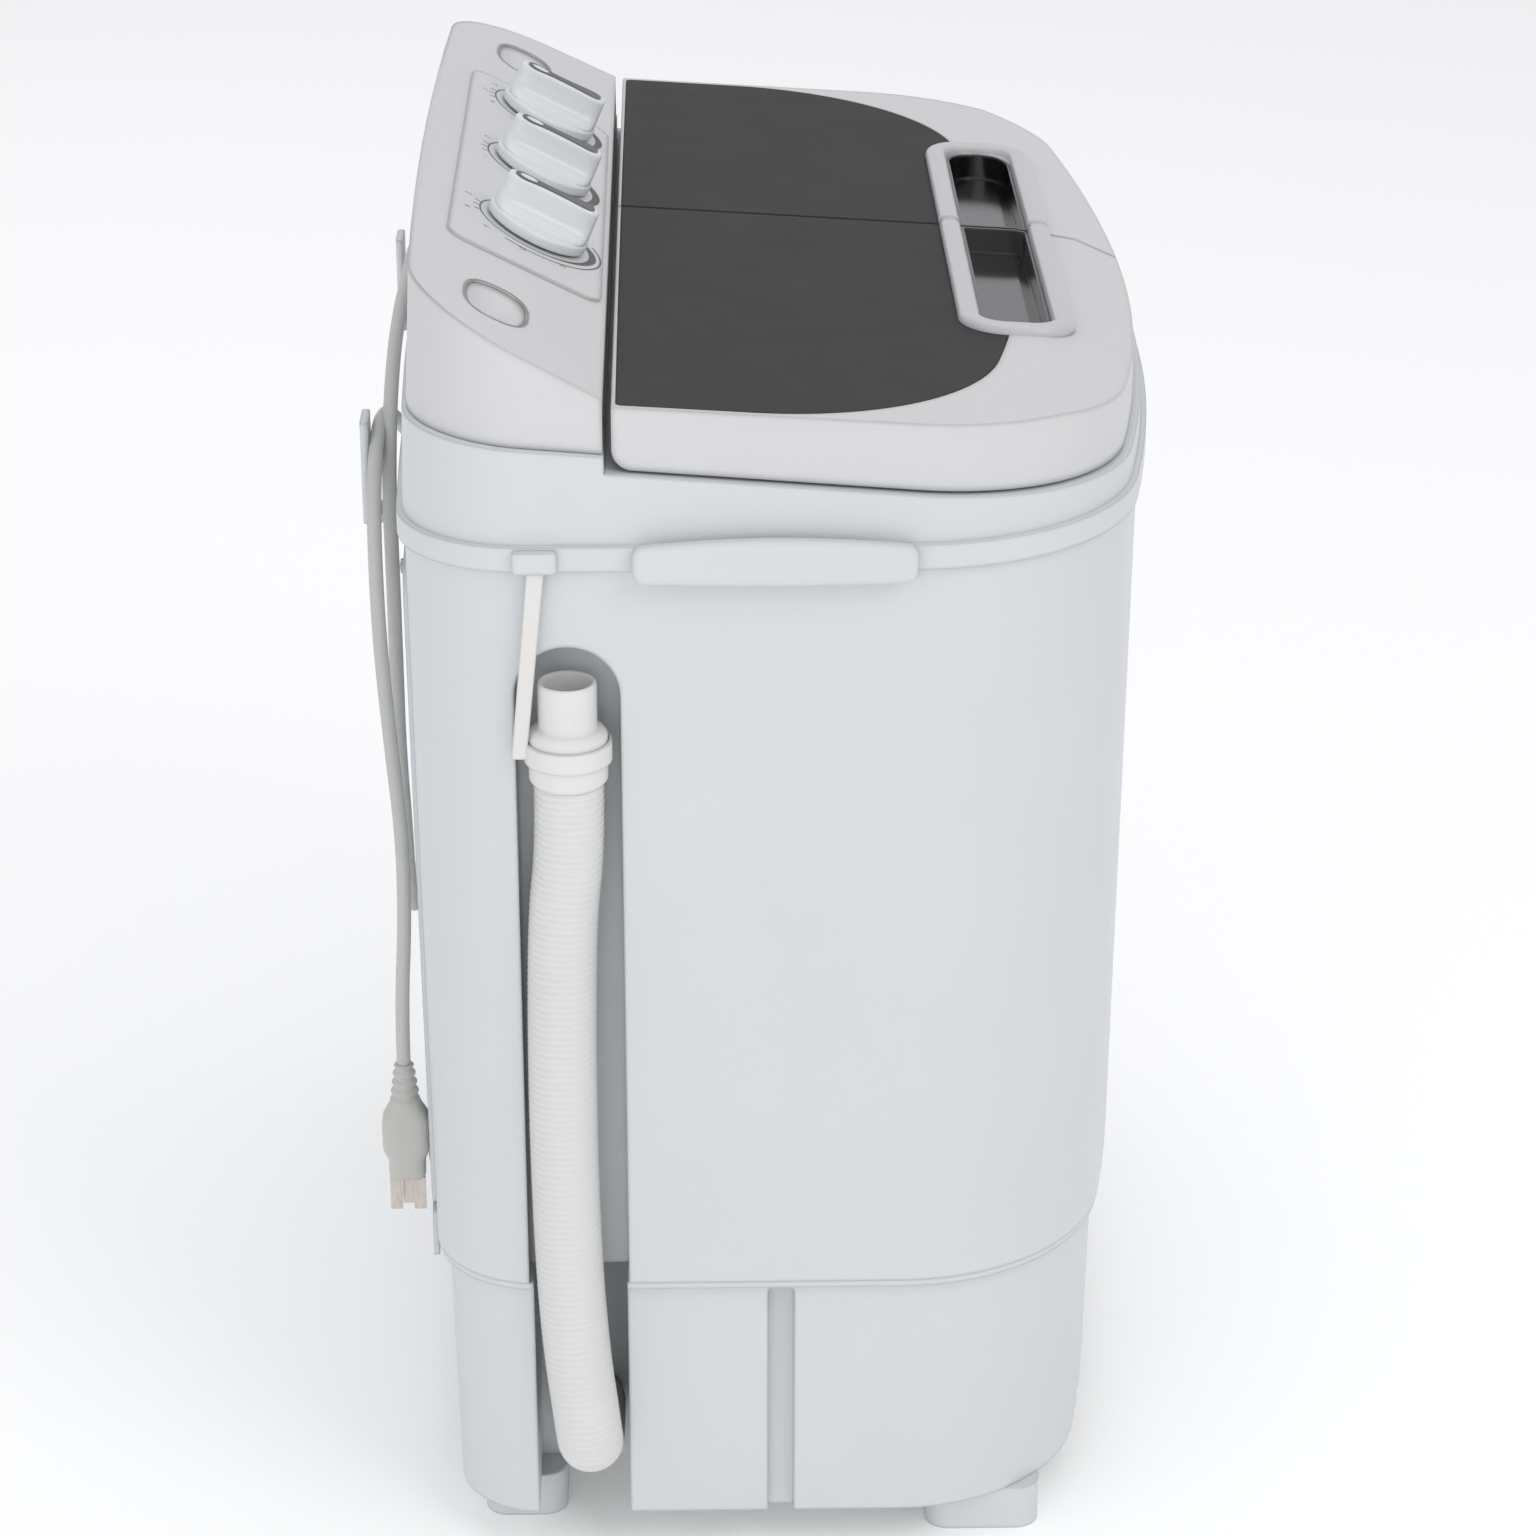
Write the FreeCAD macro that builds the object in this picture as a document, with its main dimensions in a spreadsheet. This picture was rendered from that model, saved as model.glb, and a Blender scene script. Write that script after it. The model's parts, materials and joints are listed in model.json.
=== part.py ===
import FreeCAD, Part
import Sketcher
import math
import os
from FreeCAD import Placement, Rotation, Vector

# Compact twin-tub washing machine: wash tub on the left (-X), spin tub on the right (+X), controls along
# the rear (+Y), front towards -Y. The origin is on the floor, under the middle of the machine.

doc = FreeCAD.newDocument("TwinTubWasher")
sheet = doc.addObject("Spreadsheet::Sheet", "Sizes")

SIZES = [
    # plan of the cabinet, at the rim
    ("middle", -11.75, "middle of the cabinet, front to rear: the cord hooks stand out behind"),
    ("rim_half", 295, "half length of the rim"),
    ("rim_edge", 182.5, "rim's front edge from the middle"),
    ("rim_rear", 189, "rim's rear edge from the middle"),
    ("rear_round", 60, "rear corner radius"),
    ("front_round", 112, "front corner radius"),
    ("rear_bow", 6200, "radius of the bowed rear"),
    ("front_bow", 1110, "radius of the bowed front"),
    ("wall", 2.5, "moulded wall"),
    ("slack", 0.3, "gap between curved pieces that sit by each other"),
    ("running", 0.05, "radial gap of a shaft in its bearing"),
    # heights
    ("foot_height", 24, "floor to the base's lower edge"),
    ("base_top", 172, "top of the base, inside the shell"),
    ("shell_bottom", 162, "lower edge of the shell"),
    ("rim_bottom", 538, "lower edge of the rim band"),
    ("rim_height", 12, "height of the rim band"),
    ("deck_height", 583.2, "deck at the lids' rear edge"),
    ("deck_slope", 0.079, "fall of the deck per mm towards the front"),
    ("deck_step", 8, "rise of the deck under the controls"),
    ("lid_top", 614, "top of the lids at their rear edge"),
    ("lid_slope", 0.065, "fall of the lids per mm towards the front"),
    # insets from the rim's plan
    ("shell_inset", 3.5, "shell at its top"),
    ("shell_draft", 4, "more at its lower edge"),
    ("base_inset", 13, "base at its top"),
    ("base_draft", 3, "more at its lower edge"),
    ("collar_inset", 3, "collar above the rim, at its foot"),
    ("collar_draft", 2, "more at its top"),
    ("lid_inset", 7, "lids at their lower edge"),
    ("housing_inset", 5.5, "control housing at its foot"),
    ("housing_lean", 18, "more at the housing's top, at its ends"),
    # lids
    ("lid_rear", 83.5, "rear edge of the lids from the middle"),
    ("lid_thick", 4.5, "lid's top wall"),
    ("lid_gap", 1.5, "lid above the deck"),
    ("seam", 30, "seam between the lids"),
    ("seam_gap", 2.5, "width of the seam"),
    ("window_half", 284, "half length of the dark windows together"),
    ("window_front", 118, "front of the windows from the middle"),
    ("window_rear", 82, "rear edge of the windows from the middle"),
    ("window_round", 120, "radius of the windows' front corners"),
    ("window_deep", 2, "thickness of a window"),
    ("bezel_half", 165, "half length of the grip's bezel"),
    ("bezel_middle", 15, "middle of the bezel along the length"),
    ("bezel_rear", 82, "rear edge of the bezel, forward of the middle"),
    ("bezel_front", 139, "front edge of the bezel"),
    ("bezel_rim", 11, "width of the bezel"),
    ("bezel_rise", 4.5, "bezel above the lid"),
    ("well_deep", 15, "depth of the finger well"),
    ("hinge_y", 75, "lid hinge from the middle"),
    ("hinge_z", 606, "height of the lid hinge"),
    ("pin_radius", 1.75, "hinge pin"),
    ("lug_round", 3.2, "rounding of a hinge lug"),
    ("lug_width", 12, "width of a hinge lug"),
    ("lug_gap", 0.6, "gap about a hinge lug"),
    ("lid_round", 1.2, "rounding of the lids' rear edge"),
    ("lid_toe", 10, "rounding of the lids' lower rear edge"),
    # control housing
    ("housing_front", 87.5, "front wall of the control housing from the middle"),
    ("panel_foot", 616, "height of the panel's front edge"),
    ("panel_slope", 0.51, "rise of the panel per mm towards the rear"),
    ("housing_top", 662, "top of the control housing"),
    ("plate_left", -150, "left end of the raised plate"),
    ("plate_right", 153, "right end of the raised plate"),
    ("plate_low", 3, "raised plate's front edge, up the panel"),
    ("plate_high", 84, "raised plate's rear edge, up the panel"),
    ("plate_rise", 1.6, "thickness of the raised plate"),
    ("knob_middle", 17, "middle knob from the middle of the length"),
    ("knob_pitch", 104, "spacing of the knobs"),
    ("knob_up", 40, "knobs, up the panel"),
    ("skirt_radius", 26, "knob's skirt"),
    ("skirt_height", 5, "height of the skirt"),
    ("grip_height", 21.5, "height of the knob above the plate"),
    ("grip_width", 13, "width of the knob's grip"),
    ("spindle_radius", 3, "spindle under a knob"),
    ("inlet_half", 22, "half length of a water inlet"),
    ("inlet_round", 15, "radius of a water inlet's ends"),
    ("inlet_up", 55, "water inlets, up the panel"),
    ("inlet_left", -218, "left water inlet"),
    ("inlet_right", 218, "right water inlet"),
    ("inlet_deep", 16, "depth of a water inlet"),
    # side handles
    ("handle_front", -54.5, "front end of a side handle from the middle"),
    ("handle_rear", 74.6, "rear end of a side handle"),
    ("handle_reach", 303, "outer face of a side handle"),
    ("handle_low", 533, "underside of a side handle"),
    ("handle_high", 555, "top of a side handle"),
    # tubs
    ("tub_left", -262, "wash tub's left wall"),
    ("tub_right", 16, "wash tub's right wall"),
    ("tub_front", -146, "wash tub's front wall from the middle"),
    ("tub_rear", 62, "wash tub's rear wall from the middle"),
    ("tub_round", 70, "wash tub's corners"),
    ("tub_floor", 215, "wash tub's floor"),
    ("tub_draft", 9, "wash tub's walls lean in"),
    ("pulsator_radius", 90, "pulsator"),
    ("spin_x", 157, "spin tub's middle"),
    ("spin_y", -40, "spin tub's middle from the cabinet's"),
    ("spin_radius", 107, "spin tub, inside"),
    ("spin_floor", 262, "spin tub's floor"),
    ("basket_radius", 94, "spin basket, outside"),
    ("basket_floor", 286, "spin basket's floor"),
    ("basket_top", 545, "spin basket's top"),
    ("basket_hole", 3.5, "radius of the basket's holes"),
    # drive
    ("plate_under", 6, "wash drive's mounting plate below the tub"),
    ("shaft_radius", 5, "drive shafts"),
    ("motor_x", 8, "wash motor's middle"),
    ("motor_radius", 50, "wash motor"),
    ("spin_motor_radius", 56, "spin motor"),
    ("big_pulley", 68, "pulsator's pulley, in its groove"),
    ("small_pulley", 20, "motor's pulley, in its groove"),
    ("pulley_z", 116, "middle of the belt"),
    ("belt_thick", 5, "drive belt"),
    ("drum_radius", 40, "brake drum"),
    # drain hose, on the left side
    ("hose_x", -290, "hose's hanging stretch"),
    ("hose_radius", 16.5, "corrugated hose"),
    ("cuff_radius", 18.5, "hose's cuff"),
    ("spout_radius", 13.8, "hose's spout"),
    ("channel_front", 81, "channel in the shell, from the middle"),
    ("channel_rear", 130, "channel in the shell, from the middle"),
    ("channel_deep", 267, "bottom of the channel from the machine's middle plane"),
    ("channel_top", 500, "top of the channel"),
    ("notch_front", 82, "notch in the base, from the middle"),
    ("notch_rear", 128, "notch in the base, from the middle"),
    ("notch_deep", 226, "bottom of the notch from the machine's middle plane"),
    ("notch_top", 190, "top of the notch"),
    # rear
    ("cover_half", 215, "half length of the rear cover"),
    ("cover_low", 137, "lower edge of the rear cover"),
    ("cover_high", 505, "upper edge of the rear cover"),
    ("cover_proud", 3, "rear cover's thickness"),
    ("hook_x", 150, "cord hooks from the middle of the length"),
    ("hook_reach", 206, "outer face of the cord hooks from the middle"),
    ("hook_low", 512, "foot of the cord hooks"),
    ("hook_high", 563, "tip of the cord hooks"),
    ("cord_radius", 3.5, "power cord"),
]


class Size:
    """A size with its value and the sheet's expression for it, so that both follow the same cell."""

    def __init__(self, value, text):
        self.value = float(value)
        self.text = text

    @staticmethod
    def of(other):
        return other if isinstance(other, Size) else Size(other, repr(float(other)))

    def _join(self, other, sign, value):
        return Size(value, f"({self.text} {sign} {Size.of(other).text})")

    def __add__(self, other):
        return self._join(other, "+", self.value + Size.of(other).value)

    def __sub__(self, other):
        return self._join(other, "-", self.value - Size.of(other).value)

    def __mul__(self, other):
        return self._join(other, "*", self.value * Size.of(other).value)

    def __truediv__(self, other):
        return self._join(other, "/", self.value / Size.of(other).value)

    def __radd__(self, other):
        return Size.of(other) + self

    def __rsub__(self, other):
        return Size.of(other) - self

    def __rmul__(self, other):
        return Size.of(other) * self

    def __neg__(self):
        return Size(-self.value, f"(0 - {self.text})")

    def __float__(self):
        return self.value


def root(size):
    return Size(math.sqrt(size.value), f"sqrt({size.text})")


class Sheet:
    """Every named size, as an attribute."""


dim = Sheet()
for row, (alias, value, note) in enumerate(SIZES, start=1):
    sheet.set(f"A{row}", note)
    sheet.set(f"B{row}", str(value))
    sheet.setAlias(f"B{row}", alias)
    setattr(dim, alias, Size(value, f"Sizes.{alias}"))
doc.recompute()


def bind(obj, prop, size):
    size = Size.of(size)
    obj.setExpression(prop, size.text)


def place(obj, x=0, y=0, z=0, turn=None):
    """Puts the object at a point bound to the sheet, with y counted from the cabinet's middle."""
    x, y, z = Size.of(x), Size.of(y) + dim.middle, Size.of(z)
    obj.Placement = Placement(Vector(x.value, y.value, z.value), turn or Rotation())
    for axis, size in zip("xyz", (x, y, z)):
        bind(obj, f"Placement.Base.{axis}", size)
    return obj


nodes = {}


def node(obj, label):
    obj.Label = label
    nodes[label] = obj
    return obj


# ---- sketches ----

UPRIGHT_X = Rotation(Vector(1, 1, 1), 120)      # a sketch whose axes are Y and Z, facing +X
UPRIGHT_Y = Rotation(Vector(1, 0, 0), 90)       # a sketch whose axes are X and Z, facing -Y


def new_sketch(name):
    return doc.addObject("Sketcher::SketchObject", name)


def dimension(sketch, kind, places, size, name):
    """One dimension of a sketch, bound to the sheet."""
    size = Size.of(size)
    number = sketch.addConstraint(Sketcher.Constraint(kind, *places, size.value))
    sketch.renameConstraint(number, name)
    sketch.setExpression(f"Constraints.{name}", size.text)


def polygon(sketch, points):
    """A closed outline with each corner dimensioned from the origin.

    A corner with a third number starts an arc of that radius, which bulges to the right of its chord.
    """
    rounds = {i: Size.of(point[2]) for i, point in enumerate(points) if len(point) > 2}
    points = [(Size.of(point[0]), Size.of(point[1])) for point in points]
    count = len(points)
    for i in range(count):
        (u, v), (p, q) = points[i], points[(i + 1) % count]
        start, end = Vector(u.value, v.value, 0), Vector(p.value, q.value, 0)
        if i in rounds:
            chord, radius = end - start, rounds[i].value
            sagitta = radius - math.sqrt(radius ** 2 - chord.Length ** 2 / 4)
            out = Vector(chord.y, -chord.x, 0).normalize() * sagitta
            sketch.addGeometry(Part.Arc(start, (start + end) * 0.5 + out, end), False)
        else:
            sketch.addGeometry(Part.LineSegment(start, end), False)
    for i in range(count):
        sketch.addConstraint(Sketcher.Constraint("Coincident", i, 2, (i + 1) % count, 1))
    for i, (u, v) in enumerate(points):
        dimension(sketch, "DistanceX", (-1, 1, i, 1), u, f"u{i}")
        dimension(sketch, "DistanceY", (-1, 1, i, 1), v, f"v{i}")
    for i, radius in rounds.items():
        dimension(sketch, "Radius", (i,), radius, f"round{i}")
    return sketch


def arc(sketch, x, y, radius, start, end):
    circle = Part.Circle(Vector(x, y, 0), Vector(0, 0, 1), radius)
    return sketch.addGeometry(Part.ArcOfCircle(circle, start, end), False)


def line(sketch, x0, y0, x1, y1):
    return sketch.addGeometry(Part.LineSegment(Vector(x0, y0, 0), Vector(x1, y1, 0)), False)


def corner_height(bow, edge, half, rounding, sign):
    """Where the centre of a corner arc between a bowed edge and a straight side lies across the plan."""
    centre = sign * (edge - bow)
    return centre + sign * root((bow - rounding) * (bow - rounding) - (half - rounding) * (half - rounding))


class Plan:
    """An outline with straight sides and bowed front and rear edges, blended by corner arcs."""

    def __init__(self, half, rear, front, rear_round, front_round, rear_bow, front_bow):
        self.half, self.rear, self.front = half, rear, front
        self.rear_round, self.front_round = rear_round, front_round
        self.rear_bow, self.front_bow = rear_bow, front_bow

    def draw(self, name, inset, z):
        inset = Size.of(inset)
        half, rear, front = self.half - inset, self.rear - inset, self.front - inset
        rr, fr = self.rear_round - inset, self.front_round - inset
        rb, fb = self.rear_bow - inset, self.front_bow - inset
        a, r, f = half.value, rr.value, fr.value
        yr = corner_height(rb, rear, half, rr, 1).value
        yf = corner_height(fb, front, half, fr, -1).value
        rear_fan = math.asin((a - r) / (rb.value - r))
        front_fan = math.asin((a - f) / (fb.value - f))
        up, down = math.pi / 2, 3 * math.pi / 2
        sketch = new_sketch(name)
        line(sketch, a, yf, a, yr)
        arc(sketch, a - r, yr, r, 0, up - rear_fan)
        arc(sketch, 0, rear.value - rb.value, rb.value, up - rear_fan, up + rear_fan)
        arc(sketch, r - a, yr, r, up + rear_fan, math.pi)
        line(sketch, -a, yr, -a, yf)
        arc(sketch, f - a, yf, f, math.pi, down - front_fan)
        arc(sketch, 0, fb.value - front.value, fb.value, down - front_fan, down + front_fan)
        arc(sketch, a - f, yf, f, down + front_fan, 2 * math.pi)
        for i in range(8):
            sketch.addConstraint(Sketcher.Constraint("Tangent", i, 2, (i + 1) % 8, 1))
        for i in (0, 4):
            sketch.addConstraint(Sketcher.Constraint("Vertical", i))
        for i, radius in ((1, rr), (2, rb), (3, rr), (5, fr), (6, fb), (7, fr)):
            dimension(sketch, "Radius", (i,), radius, f"radius{i}")
        dimension(sketch, "DistanceX", (-1, 1, 0, 1), half, "right")
        dimension(sketch, "DistanceX", (4, 1, -1, 1), half, "left")
        for i, name, across in ((2, "rear", rear - rb), (6, "front", fb - front)):
            sketch.addConstraint(Sketcher.Constraint("PointOnObject", i, 3, -2))
            dimension(sketch, "DistanceY", (-1, 1, i, 3), across, name)
        return place(sketch, z=z)


def rounded(sketch, x0, x1, y0, y1, radius):
    """A rectangle with rounded corners."""
    x0, x1, y0, y1, radius = map(Size.of, (x0, x1, y0, y1, radius))
    a, b, c, d, r = x0.value, x1.value, y0.value, y1.value, radius.value
    quarter = math.pi / 2
    line(sketch, b, c + r, b, d - r)
    arc(sketch, b - r, d - r, r, 0, quarter)
    line(sketch, b - r, d, a + r, d)
    arc(sketch, a + r, d - r, r, quarter, 2 * quarter)
    line(sketch, a, d - r, a, c + r)
    arc(sketch, a + r, c + r, r, 2 * quarter, 3 * quarter)
    line(sketch, a + r, c, b - r, c)
    arc(sketch, b - r, c + r, r, 3 * quarter, 4 * quarter)
    for i in range(8):
        sketch.addConstraint(Sketcher.Constraint("Tangent", i, 2, (i + 1) % 8, 1))
    for i in (0, 4):
        sketch.addConstraint(Sketcher.Constraint("Vertical", i))
    for i in (2, 6):
        sketch.addConstraint(Sketcher.Constraint("Horizontal", i))
    for i in (1, 3, 5, 7):
        dimension(sketch, "Radius", (i,), radius, f"radius{i}")
    dimension(sketch, "DistanceX", (-1, 1, 0, 1), x1, "right")
    dimension(sketch, "DistanceX", (-1, 1, 4, 1), x0, "left")
    dimension(sketch, "DistanceY", (-1, 1, 2, 1), y1, "top")
    dimension(sketch, "DistanceY", (-1, 1, 6, 1), y0, "bottom")
    return sketch


# ---- solids ----


def loft(name, *sketches):
    solid = doc.addObject("Part::Loft", name)
    solid.Sections = list(sketches)
    solid.Solid = True
    solid.Ruled = True
    return solid


def extrude(name, sketch, length, both=False):
    """The sketch's face carried along its normal, or half each way."""
    solid = doc.addObject("Part::Extrusion", name)
    solid.Base = sketch
    solid.DirMode = "Normal"
    solid.Solid = True
    solid.Symmetric = both
    bind(solid, "LengthFwd", length)
    return solid


def cut(name, base, *tools):
    return combine(name, "Part::Cut", base, *tools)


def fuse(name, base, *tools):
    solid = doc.addObject("Part::MultiFuse", name)
    solid.Shapes = [base, *tools]
    solid.Refine = True
    return solid


def common(name, base, tool):
    return combine(name, "Part::Common", base, tool)


def combine(name, kind, base, *tools):
    for number, tool in enumerate(tools):
        last = number == len(tools) - 1
        solid = doc.addObject(kind, name if last else f"{name}_step{number}")
        solid.Base, solid.Tool = base, tool
        base = solid
    return base


def box(name, x0, x1, y0, y1, z0, z1):
    solid = doc.addObject("Part::Box", name)
    x0, x1, y0, y1, z0, z1 = map(Size.of, (x0, x1, y0, y1, z0, z1))
    bind(solid, "Length", x1 - x0)
    bind(solid, "Width", y1 - y0)
    bind(solid, "Height", z1 - z0)
    return place(solid, x0, y0, z0)


def cylinder(name, radius, length, x, y, z, turn=None):
    solid = doc.addObject("Part::Cylinder", name)
    bind(solid, "Radius", radius)
    bind(solid, "Height", length)
    return place(solid, x, y, z, turn)


def side_profile(name, points, width, x=0):
    """A solid of one side view, given as points across and upwards, carried along the length."""
    sketch = polygon(new_sketch(f"{name}_side"), points)
    place(sketch, x, turn=UPRIGHT_X)
    return extrude(name, sketch, width, both=True)


def full_length(name, points):
    """A solid of one side view that is longer than the whole cabinet."""
    return side_profile(name, points, FAR * 2)


def drafted(name, plan, low_inset, low_z, high_inset, high_z, high_plan=None):
    """A block whose plan shrinks or grows evenly from one height to another."""
    low = plan.draw(f"{name}_low", low_inset, low_z)
    high = (high_plan or plan).draw(f"{name}_high", high_inset, high_z)
    return loft(name, low, high)


def upright(name, x0, x1, y0, y1, radius, z0, z1):
    """An upright block with rounded corners."""
    sketch = rounded(new_sketch(f"{name}_plan"), x0, x1, y0, y1, radius)
    place(sketch, z=z0)
    return extrude(name, sketch, Size.of(z1) - z0)


# ---- pieces with a body of their own ----


def new_body(name):
    return doc.addObject("PartDesign::Body", name)


def body_sketch(body, name, role="XY_Plane"):
    plane = next(item for item in body.Origin.OriginFeatures if item.Role == role)
    sketch = body.newObject("Sketcher::SketchObject", name)
    sketch.AttachmentSupport = [(plane, "")]
    sketch.MapMode = "FlatFace"
    return sketch


def turned(name, points, x, y, z, turn=None):
    """A round piece of one profile, given as radii and heights above its foot."""
    body = new_body(name)
    sketch = polygon(body_sketch(body, f"{name}_profile", "XZ_Plane"), points)
    solid = body.newObject("PartDesign::Revolution", f"{name}_turn")
    solid.Profile = sketch
    solid.ReferenceAxis = (sketch, ["V_Axis"])
    return place(body, x, y, z, turn)


def circle(sketch, radius, x=0, y=0):
    ring = Part.Circle(Vector(float(x), float(y), 0), Vector(0, 0, 1), float(radius))
    number = sketch.addGeometry(ring, False)
    dimension(sketch, "Radius", (number,), radius, f"radius{number}")
    dimension(sketch, "DistanceX", (-1, 1, number, 3), x, f"x{number}")
    dimension(sketch, "DistanceY", (-1, 1, number, 3), y, f"y{number}")
    return sketch


def pad(body, sketch, length):
    solid = body.newObject("PartDesign::Pad", f"{sketch.Name}_pad")
    solid.Profile = sketch
    bind(solid, "Length", length)
    return solid


def pocket(body, sketch, length):
    """Cuts upwards from the sketch's plane."""
    solid = body.newObject("PartDesign::Pocket", f"{sketch.Name}_pocket")
    solid.Profile = sketch
    solid.Reversed = True
    bind(solid, "Length", length)
    return solid


def tube(name, points, radius):
    """A round cord along straight runs that are joined by tangent arcs."""
    points = [Vector(x, y, z) for x, y, z in points]
    edges = []
    start = points[0]
    rounds = []
    for before, corner, after in zip(points, points[1:], points[2:]):
        into, out = corner - before, after - corner
        turn = into.getAngle(out)
        shorter = min(into.Length, out.Length)
        reach = ARC_SHARE * shorter
        rounds.append(reach / math.tan(turn / 2))
        into.normalize()
        out.normalize()
        first, last = corner - into * reach, corner + out * reach
        inward = out - into
        inward.normalize()
        middle = corner + inward * (rounds[-1] / math.cos(turn / 2) - rounds[-1])
        edges.append(Part.LineSegment(start, first).toShape())
        edges.append(Part.Arc(first, middle, last).toShape())
        start = last
    edges.append(Part.LineSegment(start, points[-1]).toShape())
    path = Part.Wire(edges)
    section = Part.Wire(Part.makeCircle(radius.value, points[0], points[1] - points[0]))
    solid = doc.addObject("Part::Feature", name)
    solid.Shape = path.makePipeShell([section], True, False)
    share = solid.Shape.Volume / (math.pi * radius.value ** 2 * path.Length)
    print(f"{name}: {path.Length:.0f} mm, volume over section times length {share:.4f}, bend radii",
          " ".join(f"{size:.0f}" for size in rounds))
    return place(solid)


ARC_SHARE = 0.45        # share of the shorter run that a bend takes
FAR = 700               # mm, a tool's reach past every piece
TO_RIGHT = Rotation(Vector(0, 1, 0), 90)        # from upright to along +X

rim_plan = Plan(dim.rim_half, dim.rim_rear, dim.rim_edge, dim.rear_round, dim.front_round,
                dim.rear_bow, dim.front_bow)
rim_top = dim.rim_bottom + dim.rim_height


def deck_at(y, rise=0):
    """Height of the deck."""
    return dim.deck_height + (Size.of(y) - dim.lid_rear) * dim.deck_slope + rise


def lid_at(y, rise=0):
    """Height of the lids' top."""
    return dim.lid_top + (Size.of(y) - dim.lid_rear) * dim.lid_slope + rise


def panel_at(y, rise=0):
    """Height of the control panel."""
    return dim.panel_foot + (Size.of(y) - dim.housing_front) * dim.panel_slope + rise


def deck_slab(name, low, high):
    """The layer between two heights above the deck."""
    front, rear = -FAR_Y, FAR_Y
    return full_length(name, [(front, deck_at(front, low)), (rear, deck_at(rear, low)),
                          (rear, deck_at(rear, high)), (front, deck_at(front, high))])


FAR_Y = 260             # mm, past the front and rear of the cabinet

# ---- base, feet and cabinet ----


def hose_cut(name, front, rear, deep, top, spare):
    """An upright channel in the left side with a round top, or its wall when spare is that wall."""
    centre, radius = (front + rear) / 2, (rear - front) / 2 + spare
    block = box(f"{name}_block", -FAR, spare - deep, centre - radius, centre + radius, -1,
                top - radius + spare)
    head = cylinder(f"{name}_head", radius, FAR - deep + spare, -FAR, centre, top - radius + spare,
                    TO_RIGHT)
    return fuse(name, block, head)


def make_base():
    low, high = dim.base_inset + dim.base_draft, dim.base_inset
    outer = drafted("base_outer", rim_plan, low, dim.foot_height, high, dim.base_top)
    floor = dim.foot_height + dim.wall
    inner = drafted("base_inner", rim_plan, low + dim.wall, floor, high + dim.wall, dim.base_top)
    ledge_outer = drafted("ledge_outer", rim_plan, LEDGE_INSET, dim.shell_bottom - LEDGE, LEDGE_INSET,
                          dim.shell_bottom)
    ledge_inner = drafted("ledge_inner", rim_plan, high + dim.wall, dim.shell_bottom - LEDGE,
                          high + dim.wall,
                          dim.shell_bottom)
    notch = hose_cut("notch", dim.notch_front, dim.notch_rear, dim.notch_deep, dim.notch_top, 0)
    notch_wall = hose_cut("notch_wall", dim.notch_front, dim.notch_rear, dim.notch_deep, dim.notch_top,
                          dim.wall)
    groove = hose_cut("groove", 0, GROOVE_WIDTH, dim.rim_half - low - GROOVE_DEEP,
                      dim.shell_bottom - LEDGE, 0)
    groove_wall = hose_cut("groove_wall", 0, GROOVE_WIDTH, dim.rim_half - low - GROOVE_DEEP,
                           dim.shell_bottom - LEDGE, dim.wall)
    hollow = cut("base_hollow", inner, notch_wall, groove_wall)
    tray = cut("base_tray", outer, hollow)
    ledge = cut("base_ledge", ledge_outer, ledge_inner)
    rim = fuse("base_rim", tray, ledge)
    elbow_hole = cylinder("elbow_hole", dim.spout_radius + dim.slack, ELBOW_SPARE * 3,
                          -dim.notch_deep - ELBOW_SPARE, elbow_y,
                          elbow_z,
                          TO_RIGHT)
    spare = dim.wall + dim.slack
    channel = box("base_channel", -FAR, spare - dim.channel_deep, dim.channel_front - spare,
                  dim.channel_rear + spare, dim.shell_bottom, dim.base_top + 1)
    vents = [upright(f"vent{number}", x - VENT_HALF, x + VENT_HALF, VENT_FRONT, VENT_REAR, VENT_ROUND, 0,
                     VENT_TOP)
             for number, x in enumerate(VENT_PLACES)]
    node(cut("base", rim, notch, groove, channel, elbow_hole, *vents), "base_frame")


LEDGE, LEDGE_INSET = 4, 8.5
GROOVE_WIDTH, GROOVE_DEEP = 13, 6
VENT_HALF, VENT_FRONT, VENT_REAR = 30, -120, -110
VENT_ROUND, VENT_TOP = 4, 60
VENT_PLACES = (-170, -90, 60, 140)
ELBOW_SPARE = 20        # mm, the elbow's bore past the notch's wall
elbow_y, elbow_z = 101, 62


def make_feet():
    blocks = []
    for end, (inner, outer, low, high) in FEET.items():
        for side, low_x, high_x in (("left", -outer, -inner), ("right", inner, outer)):
            blocks.append(upright(f"foot_{end}_{side}", low_x, high_x, low, high, FOOT_ROUND, 0,
                                  dim.foot_height))
    group = doc.addObject("Part::Compound", "feet")
    group.Links = blocks
    node(group, "feet")


# inner and outer ends along the length, front and rear edges
FEET = {"front": (205, 262, -126, -68), "rear": (200, 245, 115, 157)}
FOOT_ROUND = 12


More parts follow.
